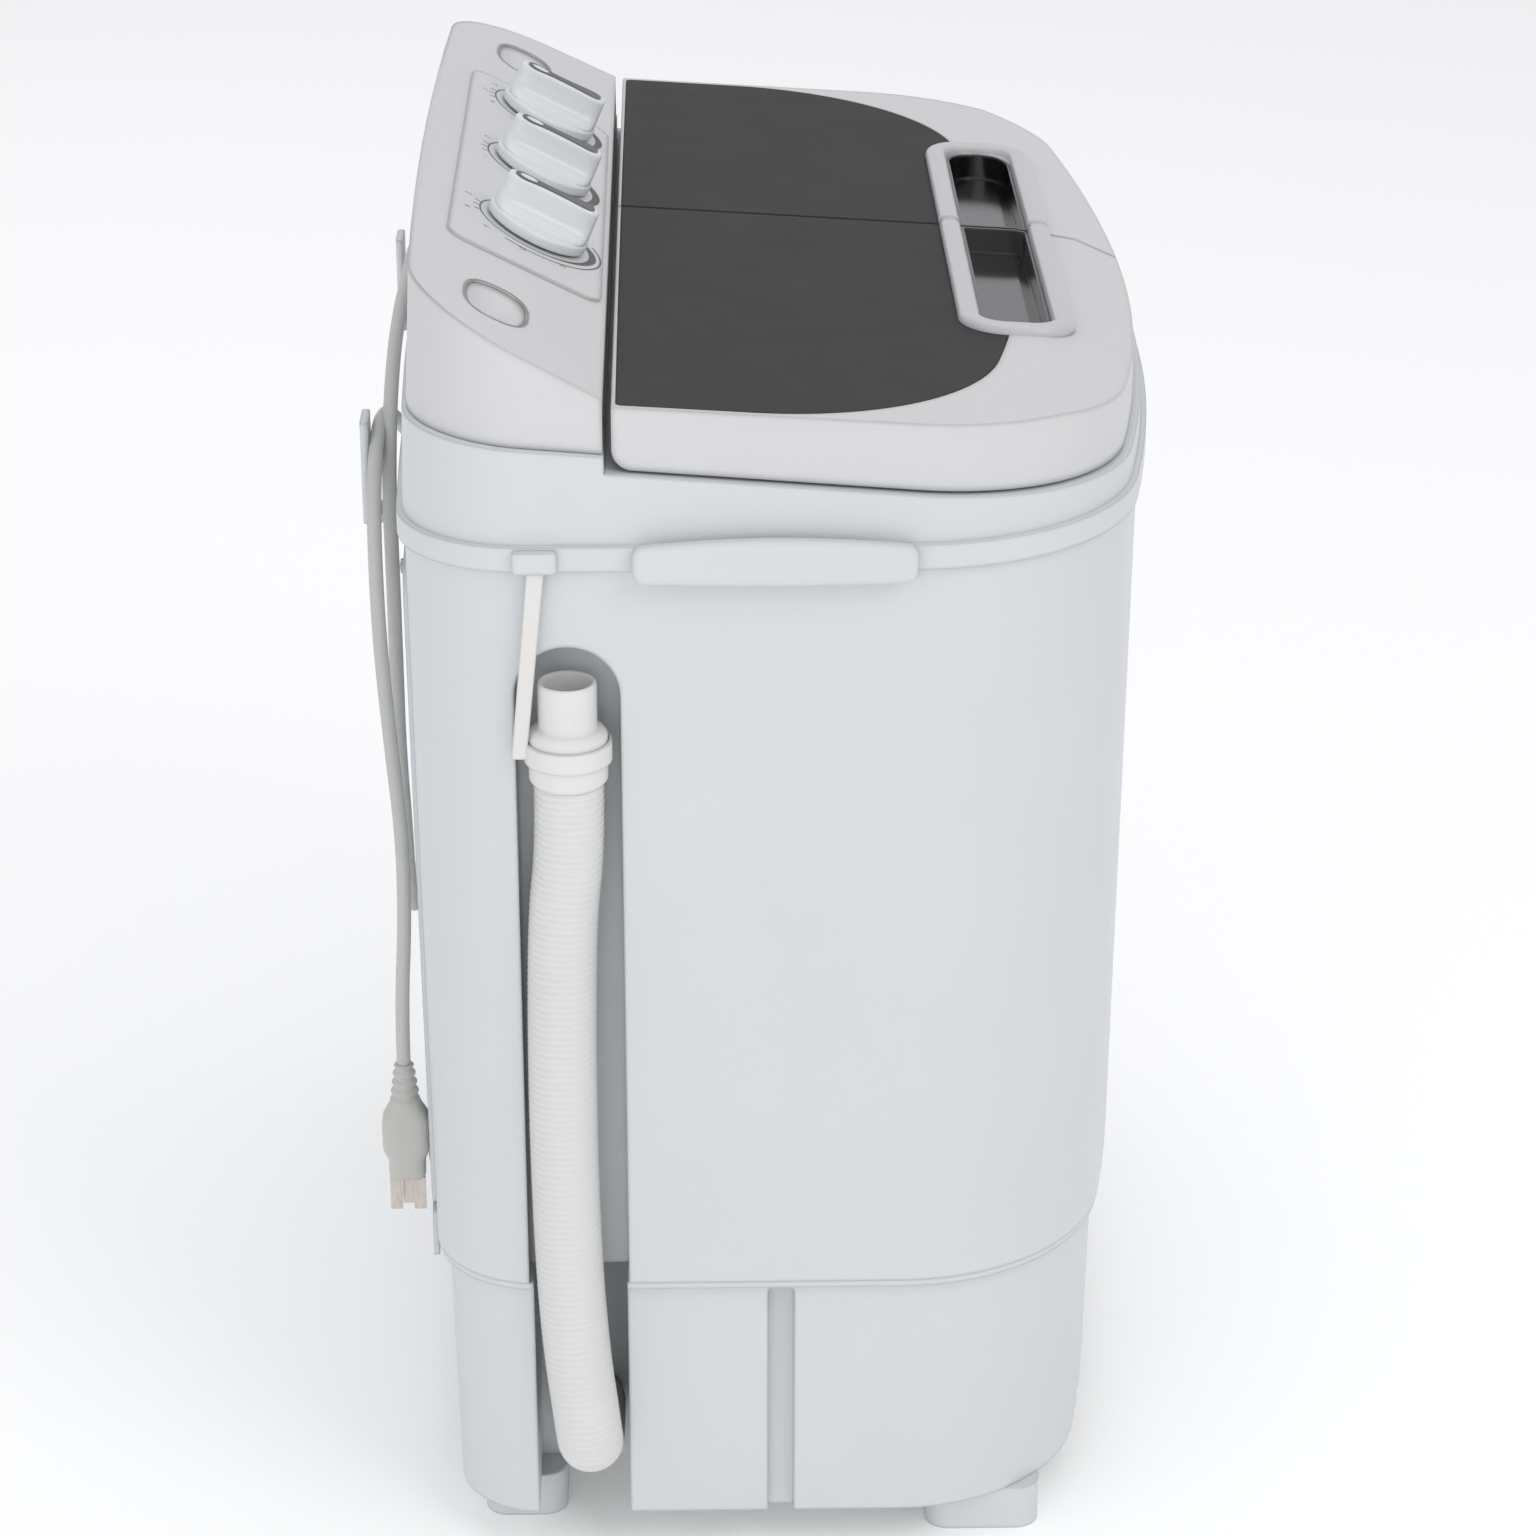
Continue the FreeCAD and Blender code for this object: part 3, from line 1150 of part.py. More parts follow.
def make_wash_drive():
    x, y = pulsator_x, dim.spin_y
    r = dim.pulsator_radius
    foot = dim.tub_floor + 4
    disc = turned("pulsator_disc", [(0, 0), (r - 6, 0), (r, 5), (r - 4, 9), (40, 13), (22, 24), (0, 28)],
                  x, y, foot)
    vanes = [box(f"vane{number}", x - along, x + along, y - across, y + across, foot + 2, foot + 22)
             for number, (along, across) in enumerate(((r - 12, 5), (5, r - 12)))]
    bore = cylinder("pulsator_bore", dim.shaft_radius, 14, x, y, foot)
    node(cut("pulsator_cut", fuse("pulsator_form", disc, *vanes), bore), "pulsator")

    shaft_foot = dim.pulley_z - 10
    node(cylinder("pulsator_axle", dim.shaft_radius, foot + 14 - shaft_foot, x, y, shaft_foot),
         "pulsator_shaft")

    bearing_low = dim.pulley_z + 16
    bore_radius = dim.shaft_radius + dim.running
    bearing = turned("bearing", [(bore_radius, 0), (16, 0), (16, 50), (30, plate_top - bearing_low - 4),
                                 (30, plate_top - bearing_low), (16, plate_top - bearing_low),
                                 (dim.shaft_radius + 7, plate_top - bearing_low),
                                 (dim.shaft_radius + 7, dim.tub_floor - bearing_low),
                                 (bore_radius, dim.tub_floor - bearing_low)], x, y, bearing_low)
    node(bearing, "pulsator_bearing")

    plate = upright("drive_plate", x - 78, dim.motor_x + dim.motor_radius + 14, y - 62, y + 62, 12,
                    plate_top, plate_top + dim.plate_under)
    hole = cylinder("plate_bore", dim.shaft_radius + 7 + dim.slack, 40, x, y, plate_top - 10)
    node(cut("drive_plate_cut", plate, hole), "wash_drive_plate")

    motor_low, motor_high = dim.pulley_z + 20, plate_top
    motor = turned("wash_motor_case", [(bore_radius, 0), (dim.motor_radius - 8, 0), (dim.motor_radius, 6),
                                       (dim.motor_radius, motor_high - motor_low - 6),
                                       (dim.motor_radius - 8, motor_high - motor_low),
                                       (bore_radius, motor_high - motor_low)], dim.motor_x, y, motor_low)
    node(motor, "wash_motor")
    node(cylinder("wash_motor_axle", dim.shaft_radius, motor_high - 4 - shaft_foot, dim.motor_x, y,
                  shaft_foot),
         "wash_motor_shaft")
    for name, radius, x_at in (("pulsator_pulley", dim.big_pulley, x),
                               ("wash_motor_pulley", dim.small_pulley,
                                                                       dim.motor_x)):
        node(pulley(name, radius, x_at, y), name)
    node(make_belt(x, y), "drive_belt")


def pulley(name, groove, x, y):
    half, edge = dim.belt_thick / 2 + dim.slack, groove + dim.belt_thick + 3
    foot = dim.pulley_z - PULLEY_HALF
    return turned(name, [(dim.shaft_radius, 0), (edge, 0), (edge, PULLEY_HALF - half - 1),
                         (groove, PULLEY_HALF - half),
                         (groove, PULLEY_HALF + half), (edge, PULLEY_HALF + half + 1),
                         (edge, PULLEY_HALF * 2),
                         (dim.shaft_radius, PULLEY_HALF * 2)], x, y, foot)


PULLEY_HALF = 7


def make_belt(x, y):
    """A belt about two pulleys: its outline is two arcs joined by their common tangents."""
    inner = belt_block("belt_inner", x, y, dim.slack)
    outer = belt_block("belt_outer", x, y, dim.slack + dim.belt_thick)
    return cut("belt", outer, inner)


def belt_block(name, x, y, spare):
    big, small = dim.big_pulley + spare, dim.small_pulley + spare
    span = (dim.motor_x - x).value
    tilt = math.acos((big.value - small.value) / span)
    sketch = new_sketch(f"{name}_plan")
    arc(sketch, 0, 0, big.value, tilt, 2 * math.pi - tilt)
    arc(sketch, span, 0, small.value, -tilt, tilt)
    for sign, start, end in ((1, 1, 2), (-1, 2, 1)):
        u, v = math.cos(tilt), sign * math.sin(tilt)
        line(sketch, big.value * u, big.value * v, span + small.value * u, small.value * v)
    sketch.addConstraint(Sketcher.Constraint("Tangent", 0, 1, 2, 1))
    sketch.addConstraint(Sketcher.Constraint("Tangent", 2, 2, 1, 2))
    sketch.addConstraint(Sketcher.Constraint("Tangent", 0, 2, 3, 1))
    sketch.addConstraint(Sketcher.Constraint("Tangent", 3, 2, 1, 1))
    sketch.addConstraint(Sketcher.Constraint("Coincident", 0, 3, -1, 1))
    sketch.addConstraint(Sketcher.Constraint("PointOnObject", 1, 3, -1))
    dimension(sketch, "Radius", (0,), big, "big")
    dimension(sketch, "Radius", (1,), small, "small")
    dimension(sketch, "DistanceX", (-1, 1, 1, 3), dim.motor_x - x, "span")
    place(sketch, x, y, dim.pulley_z - dim.belt_thick / 2)
    return extrude(name, sketch, dim.belt_thick)


# ---- spin drive ----


def make_spin_drive():
    x, y = dim.spin_x, dim.spin_y
    r, low = dim.basket_radius, dim.basket_floor
    height = dim.basket_top - low
    cup = turned("basket_cup", [(dim.shaft_radius, -14), (14, -14), (14, 0), (r - 6, 0), (r, 6),
                                (r, height - 6),
                                (r - 2, height), (r - 10, height), (r - 10, height - 2),
                                (r - 4, height - 4),
                                (r - 2, height - 8), (r - 2, 8), (r - 8, 2), (20, 2), (14, 22),
                                (dim.shaft_radius, 22)], x, y, low)
    rows = []
    for row_number in range(HOLE_ROWS):
        z = low + 24 + row_number * (height - 52) / (HOLE_ROWS - 1)
        for number in range(HOLES_ROUND):
            turn = Rotation(Vector(0, 0, 1), 360 * (number + row_number % 2 / 2) / HOLES_ROUND)
            hole = cylinder(f"basket_hole{row_number}_{number}", dim.basket_hole, r * 2 + 10, 0, 0, 0)
            side = turn.multiply(TO_RIGHT)
            offset = turn.multVec(Vector(-1, 0, 0))
            reach = r + 5
            place(hole, x + reach * offset.x, y + reach * offset.y, z, side)
            rows.append(hole)
    group = doc.addObject("Part::Compound", "basket_holes")
    group.Links = rows
    node(cut("basket", cup, group), "spin_basket")

    shaft_low = spin_motor_top() - 6
    node(cylinder("spin_axle", dim.shaft_radius, low + 22 - shaft_low, x, y, shaft_low), "spin_shaft")
    seal_in = dim.shaft_radius + dim.running
    neck = dim.shaft_radius + SEAL_ROOM - dim.slack
    under = -dim.wall - dim.slack
    seal = turned("seal", [(seal_in, -14), (12, -14), (neck + 5, under - 3), (neck + 5, under),
                           (neck, under),
                           (neck, 3), (seal_in, 6)], x, y, dim.spin_floor)
    node(seal, "spin_seal")

    motor_low = dim.foot_height + dim.wall + MOUNT_TALL
    top = spin_motor_top() - motor_low
    motor = turned("spin_motor_case", [(0, 0), (dim.spin_motor_radius - 8, 0), (dim.spin_motor_radius, 6),
                                       (dim.spin_motor_radius, 12), (dim.spin_motor_radius - 4, 13),
                                       (dim.spin_motor_radius - 4, top - 6),
                                       (dim.spin_motor_radius - 12, top),
                                       (seal_in, top), (seal_in, top - 30), (0, top - 30)], x, y, motor_low)
    node(motor, "spin_motor")
    node(turned("drum_form", [(dim.shaft_radius, 0), (dim.drum_radius, 0), (dim.drum_radius, DRUM_TALL),
                              (dim.drum_radius - 4, DRUM_TALL), (dim.drum_radius - 4, 4), (14, 4),
                              (14, DRUM_TALL),
                              (dim.shaft_radius, DRUM_TALL)], x, y, spin_motor_top() + 10), "brake_drum")

    mounts = []
    for number in range(3):
        angle = math.radians(90 + 120 * number)
        spring = cylinder(f"mount{number}", 9, MOUNT_TALL, x + 36 * math.cos(angle),
                          y + 36 * math.sin(angle),
                          dim.foot_height + dim.wall)
        mounts.append(spring)
    group = doc.addObject("Part::Compound", "mounts")
    group.Links = mounts
    node(group, "spin_motor_mounts")

    lever_x = x - dim.drum_radius - LEVER_GAP
    lever_z = spin_motor_top() + 12
    arm = box("lever_arm", lever_x - 8, lever_x - 1, y - 40, y + 40, lever_z, lever_z + 12)
    shoe = box("lever_shoe", lever_x - 1, lever_x + 1.5, y - 10, y + 10, lever_z, lever_z + 12)
    boss = cylinder("lever_boss", 7, 12, lever_x - 4.5, y + 44, lever_z)
    lever_bore = cylinder("lever_bore", 2.5 + dim.running, 40, lever_x - 4.5, y + 44, lever_z - 10)
    node(cut("lever", fuse("lever_form", arm, shoe, boss), lever_bore), "brake_lever")
    post = cylinder("lever_post", 2.5, 26, lever_x - 4.5, y + 44, spin_motor_top())
    bracket = box("lever_bracket", lever_x - 12, x - 20, y + 28, y + 52, spin_motor_top(),
                  spin_motor_top() + 3)
    node(fuse("brake_post_form", post, bracket), "brake_bracket")


HOLE_ROWS, HOLES_ROUND = 6, 8
MOUNT_TALL = 22
DRUM_TALL = 16
LEVER_GAP = 4


def spin_motor_top():
    return dim.foot_height + dim.wall + MOUNT_TALL + 96


# ---- drain ----

def make_drain():
    valve_top = dim.tub_floor - dim.wall
    valve = turned("valve_form", [(0, 0), (8, 0), (22, 14), (22, 40), (13.5, 40), (13.5, 40 + dim.wall + 1),
                                  (0, 40 + dim.wall + 1)], DRAIN_X, DRAIN_Y, valve_top - 40)
    inside = cylinder("valve_inside", 10, 60, DRAIN_X, DRAIN_Y, valve_top - 20)
    node(cut("valve", valve, inside), "drain_valve")
    elbow = cylinder("elbow_pipe", dim.spout_radius, 36, -dim.notch_deep - 8, elbow_y, elbow_z, TO_RIGHT)
    flange = cylinder("elbow_flange", dim.spout_radius + 6, 3, dim.wall + dim.slack - dim.notch_deep,
                      elbow_y,
                      elbow_z, TO_RIGHT)
    elbow_bore = cylinder("elbow_bore", dim.spout_radius - 2.5, 80, -dim.notch_deep - 20, elbow_y, elbow_z,
                          TO_RIGHT)
    node(cut("elbow", fuse("elbow_form", elbow, flange), elbow_bore), "drain_outlet")


def make_hose():
    start = -dim.notch_deep - 8
    points = [(start.value, elbow_y, elbow_z)] + HOSE_RUN
    node(tube("hose", points, dim.hose_radius), "drain_hose")
    x, y, z = HOSE_RUN[-1]
    cuff = turned("cuff_form", [(0, 0), (dim.cuff_radius, 0), (dim.cuff_radius, 26),
                                (dim.cuff_radius - 3, 28),
                                (dim.spout_radius, 28), (dim.spout_radius, 51), (dim.spout_radius - 2, 51),
                                (dim.spout_radius - 2, 4), (0, 4)], x, y, z)
    node(cuff, "hose_cuff")


HOSE_RUN = [(-252, 101, 62), (-279, 101.5, 63), (-290, 103, 88), (-290, 106.5, 118), (-290, 109.5, 160),
            (-290, 111, 210), (-290, 111.5, 262), (-290, 111, 316), (-290, 109.5, 366), (-290, 105.5, 400),
            (-290, 105.5, 432)]


def make_strap():
    """A flat band that hangs from the rim and runs round the cuff."""
    x, y, z = HOSE_RUN[-1]
    inner = dim.cuff_radius + dim.slack
    ring = turned("strap_ring", [(inner, 0), (inner + STRAP_THICK, 0), (inner + STRAP_THICK, 10),
                                 (inner, 10)],
                  x, y, z + 12)
    hang_y = y + 22.5
    hanger = side_profile("strap_hanger", [(hang_y - 3.5, z + 15), (hang_y + 3.5, z + 15), (118 + 4, 545),
                                           (118 - 4, 545)], STRAP_THICK, -dim.rim_half - 2)
    node(fuse("strap", ring, hanger), "hose_strap")
    tab = upright("strap_tab", -dim.rim_half - 4.5, -dim.rim_half - dim.slack, 109, 129, 2, 538.5, 549)
    slit = box("strap_slit", -dim.rim_half - 2 - STRAP_THICK / 2 - 0.2,
               -dim.rim_half - 2 + STRAP_THICK / 2 + 0.2, 113, 123,
               530, 545.2)
    node(cut("strap_hook_form", tab, slit), "strap_bracket")


STRAP_THICK = 1.6

# ---- power cord ----

CORD = [(150, 195, 206), (150, 195, 241), (125, 194.5, 266), (84, 194, 269), (38, 194, 264),
        (-14, 193.5, 261), (-60, 193, 266), (-100, 192.5, 276), (-128, 192.5, 304), (-144, 192, 344),
        (-154, 193, 390), (-161, 192.5, 436), (-168, 192, 484), (-165, 192.6, 530), (-140, 192.6, 562),
        (-96, 192.6, 578), (-42, 192.6, 582), (12, 192.6, 579), (66, 192.6, 577), (112, 192.6, 571),
        (147, 193, 556), (170, 192.6, 524), (166, 192, 484), (134, 192.6, 458), (88, 193.6, 464),
        (40, 194.2, 486), (-14, 194.8, 510), (-66, 195.3, 534), (-112, 196.5, 553), (-150, 198, 558),
        (-179, 199, 536), (-187, 199, 500), (-188, 198, 456), (-190, 194.5, 406), (-192, 190.5, 358),
        (-193, 191, 312), (-195, 194, 268), (-195, 194, 236)]


PLUG_LONG, PLUG_THICK, PLUG_WIDE = 44, 9, 12         # the plug's height and its half sizes
RELIEF_LONG = 20        # strain relief above the plug
PIN_LONG, PIN_WIDE, PIN_THICK = 18, 3, 0.8           # a plug's pin and its half sizes
GLAND_LONG, GLAND_RADIUS = 23, 9        # collar that the cord leaves through
GLAND_FOOT = 40         # lower end of the gland's block under the cord's start


def make_cord():
    node(tube("cord", CORD, dim.cord_radius), "power_cord")
    x, y, z = CORD[-1]
    top = z - RELIEF_LONG
    handle = upright("plug_handle", x - PLUG_THICK, x + PLUG_THICK, y - PLUG_WIDE, y + PLUG_WIDE, 7,
                     top - PLUG_LONG,
                     top)
    relief = turned("plug_relief", [(0, 0), (7.5, 0), (5, RELIEF_LONG), (0, RELIEF_LONG)], x, y, top)
    node(fuse("plug", handle, relief), "power_plug")
    pins = []
    for number, (across, along) in enumerate(((-6, -2), (6, -2), (0, 4))):
        pins.append(box(f"plug_pin{number}", x + along - PIN_THICK, x + along + PIN_THICK,
                        y + across - PIN_WIDE,
                        y + across + PIN_WIDE, top - PLUG_LONG - PIN_LONG, top - PLUG_LONG))
    group = doc.addObject("Part::Compound", "pins")
    group.Links = pins
    node(group, "plug_pins")
    x, y, z = CORD[0]
    foot = z - GLAND_FOOT
    block = upright("gland_block", x - 10, x + 10, cover_face(x, foot + 10) + dim.slack, y + GLAND_RADIUS,
                    3, foot,
                    z - GLAND_LONG + 1)
    collar = turned("gland_collar", [(0, -GLAND_LONG), (GLAND_RADIUS, -GLAND_LONG), (GLAND_RADIUS, -12),
                                     (5, 0), (0, 0)],
                    x, y, z)
    node(fuse("gland", collar, block), "cord_gland")


def cover_face(x, z):
    """Outer face of the rear cover at a place."""
    x, z = Size.of(x), Size.of(z)
    bow = dim.rear_bow - root(dim.rear_bow * dim.rear_bow - x * x)
    inset = dim.shell_inset + dim.shell_draft * (dim.rim_bottom - z) / (dim.rim_bottom - dim.shell_bottom)
    return dim.rim_rear - inset + dim.cover_proud - bow


def make_hooks():
    hooks = []
    for side, x in (("left", -dim.hook_x), ("right", dim.hook_x)):
        face = dim.rim_rear - (dim.rear_bow - root(dim.rear_bow * dim.rear_bow - x * x)) - dim.shell_inset
        stem = box(f"hook_stem_{side}", x - 9, x + 9, face + dim.slack + 0.3, dim.hook_reach - 3,
                   dim.hook_low,
                   dim.hook_low + 5)
        lip = upright(f"hook_lip_{side}", x - 11, x + 11, dim.hook_reach - 4, dim.hook_reach, 1.9,
                      dim.hook_low,
                      dim.hook_high)
        foot = box(f"hook_foot_{side}", x - 11, x + 11, face + dim.slack + 0.3, face + 4, dim.hook_low - 4,
                   536)
        hooks.append(fuse(f"hook_{side}", stem, lip, foot))
    group = doc.addObject("Part::Compound", "hooks")
    group.Links = hooks
    node(group, "cord_hooks")


make_base()
make_feet()
make_shell()
make_rear_cover()
make_cover_screws()
make_top_frame()
make_hinge_pins()
make_handle("carry_handle_left", -1)
make_handle("carry_handle_right", 1)
make_wash_tub()
make_spin_tub()
make_housing()
make_inlets()
make_plate()
make_controls()
make_lid("wash", -1)
make_lid("spin", 1)
make_wash_drive()
make_spin_drive()
make_drain()
make_hose()
make_strap()
make_cord()
make_hooks()


def finish():
    doc.recompute()
    for obj in doc.Objects:
        if "Invalid" in obj.State or "Error" in obj.State:
            raise RuntimeError(f"{obj.Label} failed: {obj.State}")
    os.makedirs("parts", exist_ok=True)
    for label, obj in nodes.items():
        shape = obj.Shape
        if shape.isNull() or not shape.isValid() or not shape.Solids:
            raise RuntimeError(f"{label} has no valid solid")
        shape.exportStep(f"parts/{label}.step")
        box_ = shape.BoundBox
        print(f"{label:24s} {len(shape.Solids):3d} solids {shape.Volume / 1000:9.1f} cm3  "
              f"x {box_.XMin:7.1f} {box_.XMax:7.1f}  y {box_.YMin:7.1f} {box_.YMax:7.1f}  "
              f"z {box_.ZMin:7.1f} {box_.ZMax:7.1f}")


finish()
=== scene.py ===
import json
import math

import bpy
import numpy as np
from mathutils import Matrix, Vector


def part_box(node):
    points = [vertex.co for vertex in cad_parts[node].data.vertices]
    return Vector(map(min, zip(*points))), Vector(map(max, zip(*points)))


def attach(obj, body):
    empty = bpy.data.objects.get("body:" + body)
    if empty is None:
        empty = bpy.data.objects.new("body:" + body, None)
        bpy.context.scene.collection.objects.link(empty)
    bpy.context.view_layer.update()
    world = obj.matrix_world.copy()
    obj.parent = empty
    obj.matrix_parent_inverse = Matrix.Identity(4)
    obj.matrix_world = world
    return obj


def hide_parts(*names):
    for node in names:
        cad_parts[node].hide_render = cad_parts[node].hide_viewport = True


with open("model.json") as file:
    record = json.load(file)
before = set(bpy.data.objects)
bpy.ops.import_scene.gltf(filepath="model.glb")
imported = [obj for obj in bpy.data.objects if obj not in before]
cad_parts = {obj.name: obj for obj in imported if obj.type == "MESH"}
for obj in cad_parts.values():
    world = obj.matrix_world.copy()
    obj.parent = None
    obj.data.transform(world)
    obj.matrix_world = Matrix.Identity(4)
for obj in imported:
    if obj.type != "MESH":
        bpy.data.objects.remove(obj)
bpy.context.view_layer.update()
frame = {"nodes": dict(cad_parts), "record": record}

record = frame["record"]
nodes = frame["nodes"]
joints = {joint["name"]: joint for joint in record["behaviour"]["joints"]}

middle = -0.01175       # y of the cabinet's middle, front to rear


def low(node):
    # the least corner of a node's box
    return np.array(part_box(node)[0])


def high(node):
    # the greatest corner of a node's box
    return np.array(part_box(node)[1])


view = {
    "place": (-2.09808, 0.04067, 1.23816),
    "turn": -0.0217,        # radians from straight along +X
    "fall": 0.4164,         # radians below the horizon
    "lens": 100.04,
    "sensor": 36.0,
    "farthest": 60.0,
}
studio = {
    "worldColour": (0.96, 0.965, 1.0),
    "worldStrength": 0.74,
    "floorColour": (0.97, 0.97, 0.96),
    "floorGlow": 0.10,
    "floorSize": 14.0,
    "floorRoughness": 0.9,
    "aim": (0, 0, 0.4),
    "lamps": (
        # name, place, size, power, colour
        ("keyLight", (-1.9, -1.7, 2.6), 1.6, 19.0, (1.0, 0.99, 0.97)),
        ("fillLight", (-2.2, 2.2, 1.9), 2.4, 8.0, (0.96, 0.98, 1.0)),
        ("topLight", (0.4, -0.3, 2.8), 2.2, 9.0, (1.0, 1.0, 1.0)),
        ("sideLight", (-3.0, 0.5, 0.8), 2.0, 14.0, (1.0, 1.0, 1.0)),
        ("backLight", (2.4, 1.2, 1.9), 2.0, 4.0, (0.98, 0.99, 1.0)),
    ),
}


def makeCamera():
    # the aim is a unit vector turned about Z and then tipped down by the fall
    camera = bpy.data.cameras.new("portraitCamera")
    camera.lens = view["lens"]
    camera.sensor_width = view["sensor"]
    camera.clip_end = view["farthest"]
    body = bpy.data.objects.new("portraitCamera", camera)
    bpy.context.collection.objects.link(body)
    level = math.cos(view["fall"])
    aim = Vector((level * math.cos(view["turn"]), level * math.sin(view["turn"]), -math.sin(view["fall"])))
    body.location = view["place"]
    body.rotation_euler = aim.to_track_quat("-Z", "Y").to_euler()
    bpy.context.scene.camera = body


def makeLights():
    # an even air all round, and square lamps that each face the aim
    bpy.context.scene.view_settings.view_transform = "Standard"
    world = bpy.data.worlds.new("studioAir")
    bpy.context.scene.world = world
    world.use_nodes = True
    background = world.node_tree.nodes["Background"]
    background.inputs["Color"].default_value = (*studio["worldColour"], 1.0)
    background.inputs["Strength"].default_value = studio["worldStrength"]
    for name, place, size, power, colour in studio["lamps"]:
        lamp = bpy.data.lights.new(name, "AREA")
        lamp.size = size
        lamp.energy = power
        lamp.color = colour
        body = bpy.data.objects.new(name, lamp)
        bpy.context.collection.objects.link(body)
        body.location = place
        aim = Vector(studio["aim"]) - Vector(place)
        body.rotation_euler = aim.to_track_quat("-Z", "Y").to_euler()


def makeFloor():
    # one flat square about the origin, which glows a little so that it stays pale
    half = studio["floorSize"] / 2
    mesh = bpy.data.meshes.new("studioFloor")
    corners = [(-half, -half, 0), (half, -half, 0), (half, half, 0), (-half, half, 0)]
    mesh.from_pydata(corners, [], [(0, 1, 2, 3)])
    floor = bpy.data.objects.new("studioFloor", mesh)
    bpy.context.collection.objects.link(floor)
    material = bpy.data.materials.new("palePaper")
    material.use_nodes = True
    shader = material.node_tree.nodes["Principled BSDF"]
    shader.inputs["Base Color"].default_value = (*studio["floorColour"], 1.0)
    shader.inputs["Roughness"].default_value = studio["floorRoughness"]
    shader.inputs["Emission Color"].default_value = (1.0, 1.0, 1.0, 1.0)
    shader.inputs["Emission Strength"].default_value = studio["floorGlow"]
    mesh.materials.append(material)


makeCamera()
makeLights()
makeFloor()
print("view, light and floor ready")


class Finish:
    # a new node material with its Principled shader, and short ways to add nodes to it

    def __init__(self, name, colour, roughness):
        self.material = bpy.data.materials.new(name)
        self.material.use_nodes = True
        self.tree = self.material.node_tree
        self.shader = self.tree.nodes["Principled BSDF"]
        self.shader.inputs["Base Color"].default_value = (*colour, 1.0)
        self.shader.inputs["Roughness"].default_value = roughness
        self.place = self.tree.nodes.new("ShaderNodeTexCoord").outputs["Object"]

    def node(self, kind, **settings):
        made = self.tree.nodes.new(kind)
        for key, value in settings.items():
            setattr(made, key, value)
        return made

    def link(self, source, target):
        self.tree.links.new(source, target)

    def noise(self, scale, detail=3.0, rough=0.5, stretch=(1, 1, 1)):
        spread = self.node("ShaderNodeMapping")
        spread.inputs["Scale"].default_value = stretch
        self.link(self.place, spread.inputs["Vector"])
        cloud = self.node("ShaderNodeTexNoise")
        cloud.inputs["Scale"].default_value = scale
        cloud.inputs["Detail"].default_value = detail
        cloud.inputs["Roughness"].default_value = rough
        self.link(spread.outputs["Vector"], cloud.inputs["Vector"])
        return cloud.outputs["Fac"]

    def ramp(self, source, stops):
        ramp = self.node("ShaderNodeValToRGB")
        while len(ramp.color_ramp.elements) < len(stops):
            ramp.color_ramp.elements.new(0.5)
        for element, (position, colour) in zip(ramp.color_ramp.elements, stops):
            element.position = position
            element.color = (*colour, 1.0)
        self.link(source, ramp.inputs["Fac"])
        return ramp.outputs["Color"]

    def spread(self, source, lowest, highest):
        # a 0 to 1 value mapped to a range
        mapped = self.node("ShaderNodeMapRange")
        mapped.inputs["To Min"].default_value = lowest
        mapped.inputs["To Max"].default_value = highest
        self.link(source, mapped.inputs["Value"])
        return mapped.outputs["Result"]

    def bump(self, source, strength, distance, under=None):
        bump = self.node("ShaderNodeBump")
        bump.inputs["Strength"].default_value = strength
        bump.inputs["Distance"].default_value = distance
        self.link(source, bump.inputs["Height"])
        if under is not None:
            self.link(under, bump.inputs["Normal"])
        return bump.outputs["Normal"]

    def wear(self, colour, change, scale):
        # the colour with a slow, faint drift, lighter and darker by the change
        tones = [(0.3, tuple(c * (1 - change) for c in colour)),
                 (0.7, tuple(min(1, c * (1 + change)) for c in colour))]
        self.link(self.ramp(self.noise(scale, 4.0), tones), self.shader.inputs["Base Color"])


def mouldedPlastic(name, colour, roughness, grain=0.25, grainSize=900.0, drift=0.02, coat=0.0, edge=0.002):
    # satin moulding: fine pitted grain, a slow drift in tone, faint handling marks, softened corners
    finish = Finish(name, colour, roughness)
    finish.wear(colour, drift, 9.0)
    marks = finish.noise(26.0, 6.0, 0.65)
    finish.link(finish.spread(marks, roughness - 0.07, roughness + 0.07), finish.shader.inputs["Roughness"])
    fine = finish.noise(grainSize, 2.0)
    broad = finish.noise(14.0, 1.0)
    corners = finish.node("ShaderNodeBevel", samples=6)
    corners.inputs["Radius"].default_value = edge
    shallow = finish.bump(broad, 0.05, 0.002, corners.outputs["Normal"])
    finish.link(finish.bump(fine, grain, 0.0001, shallow), finish.shader.inputs["Normal"])
    finish.shader.inputs["Coat Weight"].default_value = coat
    finish.shader.inputs["Coat Roughness"].default_value = 0.12
    return finish.material


def brushedMetal(name, colour, roughness, along=(1, 1, 40)):
    # fine streaks along one way, in both the tone and the shine
    finish = Finish(name, colour, roughness)
    finish.shader.inputs["Metallic"].default_value = 1.0
    streaks = finish.noise(160.0, 4.0, 0.6, along)
    tones = [(0.35, tuple(c * 0.86 for c in colour)), (0.65, colour)]
    finish.link(finish.ramp(streaks, tones), finish.shader.inputs["Base Color"])
    finish.link(finish.spread(streaks, roughness - 0.08, roughness + 0.1), finish.shader.inputs["Roughness"])
    finish.link(finish.bump(streaks, 0.12, 0.0002), finish.shader.inputs["Normal"])
    return finish.material


